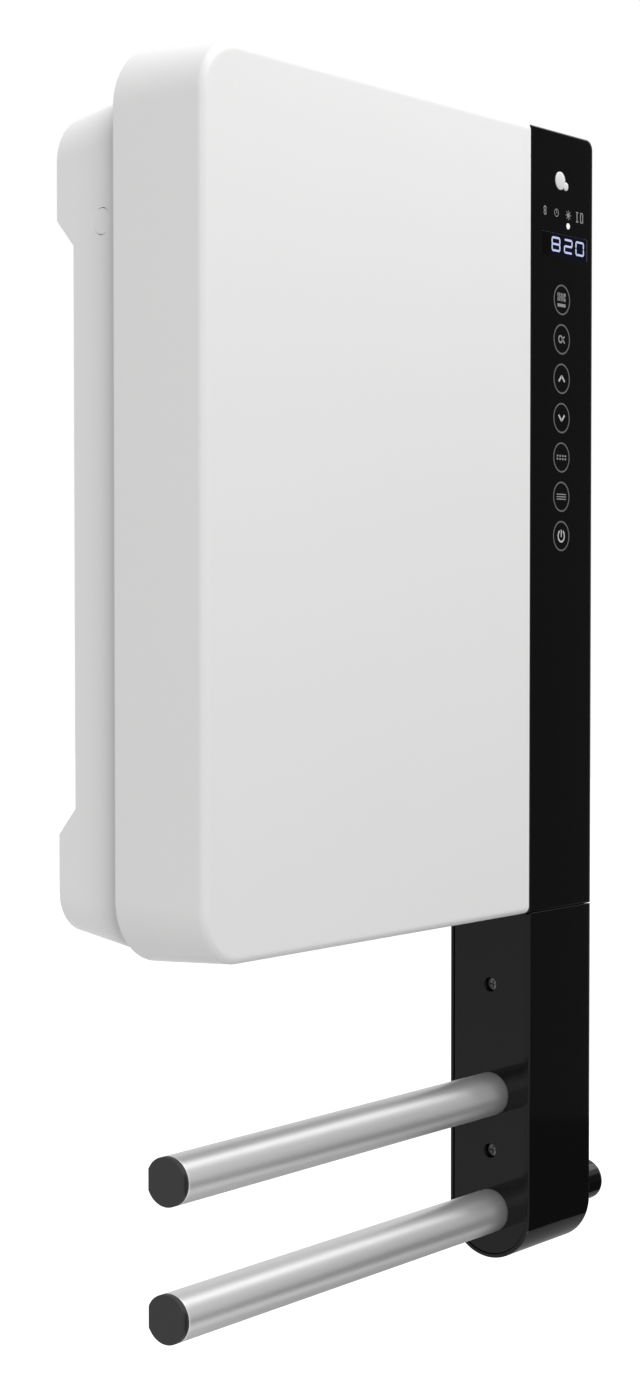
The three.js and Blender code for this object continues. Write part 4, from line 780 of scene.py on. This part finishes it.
class HEATER_OT_column(bpy.types.Operator):
    """Builds the hanging part of the column and its side plate"""

    bl_idname = "heater.column"
    bl_label = "Column and side plate"

    def execute(self, context):
        """Both are rounded blocks along x whose two lower corners join into a half circle."""
        edge, wall = context.scene.heater_sizes.column_edge, context.scene.heater_sizes.column_wall
        bars, screws = ([node_centre(f"{kind}_{place}")[1:] for place in ("upper", "lower")]
                        for kind in ("towel_bar", "plate_screw"))
        low, high = node_box("column_cover")
        radius, square, stud_hole = (high[1] - low[1]) / 2, 0.0002, 0.0043
        outside = block("x", (low[0], high[0]), (low[1], high[1], low[2], high[2]),
                        (radius, radius, square, square), (edge, edge), 28)
        cavity = block("x", (low[0] - PAST, high[0] - wall),
                       (low[1] + wall, high[1] - wall, low[2] + wall, high[2] + 2 * PAST),
                       (radius - wall, radius - wall, square, square), steps=28)
        stud = pin((high[0] - 0.01, high[0] + PAST), stud_hole, bars[1], steps=32)
        stand_in("column_cover", outside, "gloss_black", [cavity, stud])

        low, high = node_box("column_side_plate")
        face, thick, square = low[0], 0.0024, 0.0003
        boss, well, well_depth, screw_hole, bar_hole = 0.006, 0.0042, 0.006, 0.0023, 0.0128
        radius = (high[1] - low[1]) / 2
        plate = block("x", (face, face + thick), (low[1], high[1], low[2], high[2]),
                      (radius, radius, square, square), (0.0004, 0.0001), 28)
        bosses = [pin((face + 0.0005, high[0]), boss, spot) for spot in screws]
        wells = [pin((face - PAST, face + well_depth), well, spot) for spot in screws]
        holes = [pin((face, high[0] + PAST), screw_hole, spot, steps=24) for spot in screws]
        holes += [pin((face - PAST, high[0] + PAST), bar_hole, spot, steps=72) for spot in bars]
        stand_in("column_side_plate", plate, "gloss_black", wells + holes, bosses)
        return {"FINISHED"}


class HEATER_OT_lenses(bpy.types.Operator):
    """Builds the sensor lens, the light sensor, the status light and the display window"""

    bl_idname = "heater.lenses"
    bl_label = "Lenses and display window"

    def execute(self, context):
        """A lens is turned about y: at angle t its face has the height rise cos t and the
        radius times sin t."""
        turn = np.linspace(0, math.pi / 2, 13)
        own_finish = {"status_light": glowing("Lit Lens", (0.86, 0.88, 0.86), 0.25)}
        beside, reach = lens_place("light_sensor_lens")
        for node in ("sensor_lens", "light_sensor_lens", "status_light"):
            low, high = node_box(node)
            centre, radius = lens_place(node)
            rise = FRONT_Y - low[1]
            dome = np.stack([FRONT_Y - rise * np.cos(turn), radius * np.sin(turn)], 1)
            profile = np.concatenate([dome, [[FRONT_Y + 0.0004, radius], [high[1], radius]]])
            notch = pin((low[1] - PAST, high[1] + PAST), reach + 2 * FIT, beside, "y", 48)
            stand_in(node, turned(profile, centre, "y", 64), "milky_lens",
                     [notch] if node == "sensor_lens" else [], material=own_finish.get(node))
        low, high = node_box("display_window")
        corner, edge = 0.0004, 0.0001
        window = block("y", (low[1], high[1]), (low[0], high[0], low[2], high[2]), (corner,) * 4,
                       (edge, edge), 4)
        glass = backlit("Lit Window", (0.002, 0.002, 0.002), (0.0006, 0.0016, 0.0075), (0.1285, 0.1325))
        stand_in("display_window", window, "smoked_window", material=glass)
        return {"FINISHED"}


DIGIT_PLACES = {"8": 0.1328, "2": 0.1460, "0": 0.1585}  # each lit digit's left edge
LIT_SEGMENTS = {"8": "abcdefg", "2": "abged", "0": "abcdef"}


def segment(start, end, width):
    """One bar of a digit: a flat hexagon between two points, its ends drawn to a point."""
    start, end = np.array(start), np.array(end)
    run = (end - start) / np.linalg.norm(end - start)
    across = np.array([-run[1], run[0]]) * width / 2
    tip = run * width / 2
    flat = np.array([start, start + tip - across, end - tip - across, end, end - tip + across,
                     start + tip + across])
    return skinned(along("y", [FRONT_Y - DIGIT_DEPTH, FRONT_Y + DIGIT_DEPTH],
                         np.broadcast_to(flat, (2, 6, 2))))


class HEATER_OT_display_digits(bpy.types.Operator):
    """Builds the lit digits of the display"""

    bl_idname = "heater.display_digits"
    bl_label = "Display digits"

    def execute(self, context):
        height, width, thick, raised = context.scene.heater_sizes.digit_height, 0.0082, 0.0012, 0.0004
        low, high = node_box("display_window")
        z0 = (low[2] + high[2]) / 2 - height / 2 + raised
        z1, z2 = z0 + height / 2, z0 + height
        parts = []
        for digit, x0 in DIGIT_PLACES.items():
            x1 = x0 + width
            ends = {"a": ((x0, z2), (x1, z2)), "b": ((x1, z1), (x1, z2)), "c": ((x1, z0), (x1, z1)),
                    "d": ((x0, z0), (x1, z0)), "e": ((x0, z0), (x0, z1)), "f": ((x0, z1), (x0, z2)),
                    "g": ((x0, z1), (x1, z1))}
            parts += [segment(*ends[mark], thick) for mark in LIT_SEGMENTS[digit]]
        piece = new_object("display_digits", gathered(parts))
        glow = glowing("Lit Digits", context.scene.heater_colours.digits, 0.22)
        finish(piece, glow)
        return {"FINISHED"}


# A printed mark is a line's width and its path round the middle of its sign, in millimetres.

SUN_RAYS = np.linspace(0, 2 * math.pi, 8, endpoint=False)

KEY_MARKS = (  # heater, fan, up, down, days, list and power, from the top key down
    [(0.9, [(x, -0.8), (x, 3.9)]) for x in (-4.2, -2.4, -0.6, 1.2)]
    + [(1.4, [(3.2, -0.8), (3.2, 3.9)]), (1.0, [(-4.7, 1.5), (3.9, 1.5)]),
       (1.8, [(-4.7, -3.2), (3.9, -3.2)])],
    [(1.0, circle((-1.4, 0), 1.9, steps=33)), (1.0, [(0.5, 0), (2.9, 1.7)]),
     (1.0, [(0.5, 0), (3.2, -2.1)])],
    [(1.3, [(x, -1.7), (0, 1.6)]) for x in (-3.2, 3.2)],
    [(1.3, [(x, 1.7), (0, -1.6)]) for x in (-3.2, 3.2)],
    [(1.0, [(x - 0.8, z), (x + 0.8, z)]) for x in (-4.2, -1.4, 1.4, 4.2) for z in (-0.9, 0.9)],
    [(0.6, [(-5.0, z), (5.0, z)]) for z in (-1.4, 0, 1.4)],
    [(1.1, circle((0, 0), 3.3, 120, 420)), (1.0, [(0, -0.6), (0, 3.6)])],
)
BRIGHT_KEYS = (2, 3, 6)

STATUS_MARKS = {  # fan, clock, sun and open window, by their middle's x
    0.1252: [(0.7, circle((0, z), 1.1, steps=25)) for z in (-1.2, 1.2)],
    0.1374: [(0.42, circle((0, 0), 2.1, steps=25)), (0.42, [(0, 0), (0, 1.4)]),
             (0.42, [(0, 0), (1.1, 0)])],
    0.1501: [(1.2, circle((0, 0), 0.8, steps=25))]
    + [(0.56, np.outer((1.8, 2.8), (math.cos(ray), math.sin(ray)))) for ray in SUN_RAYS],
    0.1622: [(0.7, [(side * 3.7, z), (side * 1.2, z)]) for z in (2.7, -2.7) for side in (-1, 1)]
    + [(0.84, [(x, -2.7), (x, 2.7)]) for x in (-2.6, 1.2, 3.6)],
}
STATUS_ROW = 0.4020
KEY_COLUMN = 0.1434
RING_LINE = 0.0009


def printed(middle, marks):
    return [stroke(np.array(path) * MM + np.array(middle), width * MM) for width, path in marks]


class HEATER_OT_key_print(bpy.types.Operator):
    """Builds the printed rings, the signs in them and the row of status signs"""

    bl_idname = "heater.key_print"
    bl_label = "Key print"

    def execute(self, context):
        sizes = context.scene.heater_sizes
        first = float(node_centre("touch_foil")[2]) + (sizes.key_count - 1) * sizes.key_pitch / 2
        keys = [(KEY_COLUMN, first - k * sizes.key_pitch) for k in range(sizes.key_count)]
        radius = (sizes.key_diameter - RING_LINE) / 2
        rings = [stroke(circle(key, radius, steps=73), RING_LINE) for key in keys]
        bright, symbols = [], []
        for number, (key, marks) in enumerate(zip(keys, KEY_MARKS)):
            group = bright if number in BRIGHT_KEYS else symbols
            group += printed(key, marks)
        for x, marks in STATUS_MARKS.items():
            symbols += printed((x, STATUS_ROW), marks)
        grey = context.scene.heater_colours.print_grey
        for name, parts, label, share, drift in (
                ("key_rings", rings, "Ring Print", 0.29, 0.15),
                ("key_symbols", symbols, "Symbol Print", 0.75, 0.15),
                ("key_arrows", bright, "Bright Print", 1.5, 0.1)):
            ink = moulded(label, [part * share for part in grey], 0.4, drift=drift, bump=0.0)
            finish(new_object(name, gathered(parts)), ink)
        return {"FINISHED"}


# ---- Towel bars ----


class HEATER_OT_towel_bars(bpy.types.Operator):
    """Builds the two towel bars with their end caps, and the robe peg"""

    bl_idname = "heater.towel_bars"
    bl_label = "Towel bars"

    def execute(self, context):
        tube_wall, tube_edge = 0.0015, 0.0003
        edge, head, collar, flat_cut, spigot_inset = 0.0005, 0.0022, 0.0033, 0.0012, 0.0018
        for place in ("upper", "lower"):
            bar, cap = f"towel_bar_{place}", f"bar_cap_{place}"
            low, high = node_box(bar)
            centre, outer = node_centre(bar)[1:], (high[2] - low[2]) / 2
            tube = sleeve((low[0], high[0]), centre, outer, outer - tube_wall, tube_edge)
            stand_in(bar, tube, "brushed_tube")
            low, high = node_box(cap)
            end, spigot = low[0], outer - spigot_inset
            knob = turned([[end, 1e-6], [end, outer - edge - FLAT_LEAD],
                           *rounded_rim(end, outer, edge, 1, 4), [end + head + 0.0002, outer]],
                          centre, flat=outer - flat_cut, steps=96)
            base = turned([[end + head, outer], [end + collar, outer], [end + collar, spigot],
                           [high[0], spigot]], centre, steps=96)
            stand_in(cap, knob, "dark_plastic", joined=[base])

        low, high = node_box("robe_peg")
        centre, outer = node_centre("robe_peg")[1:], (high[2] - low[2]) / 2
        base, end = low[0], high[0]
        neck, step, foot, edge, bore, bore_depth = base + 0.001, 0.0006, 0.0004, 0.0008, 0.0043, 0.0257
        peg = turned(
            [[base, outer - step], [neck, outer - step], *rounded_rim(neck, outer, foot, 1, 5),
             [neck + foot + FLAT_LEAD, outer], [end - edge - FLAT_LEAD, outer],
             *rounded_rim(end, outer, edge, -1, 5)[::-1],
             [end, outer - edge - FLAT_LEAD]], centre, steps=96)
        hole = pin((base - PAST, base + bore_depth), bore, centre, steps=32)
        stand_in("robe_peg", peg, "gloss_black", [hole])
        return {"FINISHED"}


class HEATER_OT_inner_parts(bpy.types.Operator):
    """Gives the blower, heater, boards and fasteners inside their finishes"""

    bl_idname = "heater.inner_parts"
    bl_label = "Inner parts"

    def execute(self, context):
        by_slot = finishes()
        # The plate screws get a dark steel in place of the zinc of their slot.
        dark_steel = drawn("Dark Screw Steel", (0.11, 0.11, 0.115), 0.35, (90.0, 90.0, 90.0), drift=0.3)
        for part in frame["record"]["subparts"]:
            name = part.get("node") or part.get("name")
            node = frame["nodes"].get(name)
            if node is None or node.hide_render:
                continue
            dark_plate_screw = name.startswith("plate_screw")
            node.data.materials.clear()
            node.data.materials.append(dark_steel if dark_plate_screw else by_slot[part["material_slot"]])
        return {"FINISHED"}


# ---- Studio ----


def aimed(place, target, axis):
    return (Vector(target) - Vector(place)).to_track_quat(axis, "Y")


def sheet(name, size, place, material):
    """A flat rectangle, brought to its place by a matrix."""
    width, height = size[0] / 2, size[1] / 2
    mesh = bpy.data.meshes.new(name)
    mesh.from_pydata([(-width, -height, 0), (width, -height, 0), (width, height, 0),
                      (-width, height, 0)], [], [(0, 1, 2, 3)])
    mesh.transform(place)
    mesh.materials.append(material)
    return placed(name, mesh)


def soft_lamp(name, place, target, size, power):
    light = bpy.data.lights.new(name, "AREA")
    light.shape = "RECTANGLE"
    light.size, light.size_y = size
    light.energy = power
    lamp = placed(name, light)
    lamp.location = place
    lamp.rotation_euler = aimed(place, target, "-Z").to_euler()


def reflection_card(name, centre, target, size, light):
    """A flat card that only shows in reflections."""
    material = empty_material(name)
    tree = material.node_tree
    glow = add_node(tree, "ShaderNodeEmission", [("Color", (light, light, light, 1)), ("Strength", 1.0)])
    add_node(tree, "ShaderNodeOutputMaterial", (), [("Surface", glow.outputs[0])])
    place = Matrix.Translation(centre) @ aimed(centre, target, "Z").to_matrix().to_4x4()
    card = sheet(name, size, place, material)
    card.visible_camera = card.visible_diffuse = card.visible_shadow = False
    card.visible_transmission = card.visible_volume_scatter = False


def seen_directly(tree):
    """One for camera, glossy and transmission rays, and zero for the rest."""
    ray = tree.nodes.new("ShaderNodeLightPath").outputs
    either = maths(tree, "MAXIMUM", ray["Is Camera Ray"], ray["Is Glossy Ray"])
    return maths(tree, "MAXIMUM", either, ray["Is Transmission Ray"])


def surroundings():
    """White all round where it is seen, and a little dimmer where it only lights."""
    ambient = 0.66
    world = bpy.data.worlds.new("Studio")
    bpy.context.scene.world = world
    world.use_nodes = True
    tree = world.node_tree
    tree.nodes.clear()
    strength = maths(tree, "MULTIPLY_ADD", seen_directly(tree), 1 - ambient, ambient)
    sky = add_node(tree, "ShaderNodeBackground", [("Color", (1, 1, 1, 1))], [("Strength", strength)])
    add_node(tree, "ShaderNodeOutputWorld", (), [("Surface", sky.outputs[0])])


def studio_floor():
    """A matt floor under the heater, lifted towards white where it is seen."""
    height, width, grey, lift = -0.95, 16.0, 0.55, 0.78
    material = empty_material("Studio Floor")
    tree = material.node_tree
    matt = add_node(tree, "ShaderNodeBsdfDiffuse", [("Color", (grey, grey, grey, 1))])
    glow = add_node(tree, "ShaderNodeEmission", (),
                    [("Strength", maths(tree, "MULTIPLY", seen_directly(tree), lift))])
    both = add_node(tree, "ShaderNodeAddShader", (), [(0, matt.outputs[0]), (1, glow.outputs[0])])
    add_node(tree, "ShaderNodeOutputMaterial", (), [("Surface", both.outputs[0])])
    floor = sheet("Studio Floor", (width, width), Matrix.Translation((0, 0, height)), material)


def photo_camera():
    """The camera's level axis is (cos yaw, -sin yaw, 0), and it looks along (sin yaw cos pitch,
    cos yaw cos pitch, sin pitch) before it is rolled."""
    data = bpy.data.cameras.new("Camera")
    data.lens = 66.11
    data.sensor_width = 36
    place = (-1.10586, -0.89880, -0.21862)
    yaw, pitch, roll = (math.radians(angle) for angle in (52.33, -1.91, -0.018))
    ahead = Vector((math.sin(yaw) * math.cos(pitch), math.cos(yaw) * math.cos(pitch),
                    math.sin(pitch)))
    right = Vector((math.cos(yaw), -math.sin(yaw), 0))
    turn = Matrix((right, right.cross(ahead), -ahead)).transposed().to_4x4()
    camera = placed("Camera", data)
    camera.matrix_world = Matrix.Translation(place) @ turn @ Matrix.Rotation(roll, 4, "Z")
    bpy.context.scene.camera = camera


class HEATER_OT_studio(bpy.types.Operator):
    """Builds the floor, the soft lamps, the white surroundings and the camera"""

    bl_idname = "heater.studio"
    bl_label = "Studio"

    def execute(self, context):
        context.scene.view_settings.view_transform = "Standard"
        surroundings()
        studio_floor()
        body, bars = (0.0, -0.05, -0.2), (0.0, -0.1, -0.54)
        soft_lamp("Key", (0.25, -0.78, 0.88), (0.0, -0.1, -0.1), (1.1, 0.7), 8)
        soft_lamp("Top", (0.0, -0.3, 2.1), body, (1.6, 1.2), 12)
        soft_lamp("Left", (-2.2, -1.6, 0.3), body, (1.0, 1.6), 14)
        reflection_card("Dark Card", (1.2, -0.93, -0.35), (0.14, -0.11, -0.3), (0.42, 2.4), 0.08)
        reflection_card("Low Card", (0.62, -0.49, -0.87), bars, (1.3, 0.46), 0.03)
        reflection_card("Floor Card", (0.62, 0.08, -0.93), (0.62, 0.08, 0.0), (1.0, 0.75), 0.40)
        reflection_card("Bar Light", (2.4, -0.85, 1.2), bars, (1.7, 1.1), 2.9)
        photo_camera()
        return {"FINISHED"}


# ---- Add-on ----

STEPS = (
    HEATER_OT_front_cover,
    HEATER_OT_rear_casing,
    HEATER_OT_control_panel,
    HEATER_OT_column,
    HEATER_OT_lenses,
    HEATER_OT_display_digits,
    HEATER_OT_key_print,
    HEATER_OT_towel_bars,
    HEATER_OT_inner_parts,
    HEATER_OT_studio,
)


class HEATER_PT_panel(bpy.types.Panel):
    """Lists the heater's sizes, colours and building steps"""

    bl_idname = "HEATER_PT_panel"
    bl_label = "Fan Heater"
    bl_space_type = "VIEW_3D"
    bl_region_type = "UI"
    bl_category = "Fan Heater"

    def draw(self, context):
        for settings in (context.scene.heater_sizes, context.scene.heater_colours):
            for name in settings.bl_rna.properties.keys():
                if name not in {"rna_type", "name"}:
                    self.layout.prop(settings, name)
        for step in STEPS:
            self.layout.operator(step.bl_idname)


CLASSES = (HeaterSizes, HeaterColours, *STEPS, HEATER_PT_panel)


def register():
    for cls in CLASSES:
        bpy.utils.register_class(cls)
    bpy.types.Scene.heater_sizes = PointerProperty(type=HeaterSizes)
    bpy.types.Scene.heater_colours = PointerProperty(type=HeaterColours)


def unregister():
    del bpy.types.Scene.heater_colours
    del bpy.types.Scene.heater_sizes
    for cls in reversed(CLASSES):
        bpy.utils.unregister_class(cls)


def main():
    register()
    for step in STEPS:
        family, name = step.bl_idname.split(".")
        getattr(getattr(bpy.ops, family), name)()


if __name__ == "__main__":
    main()
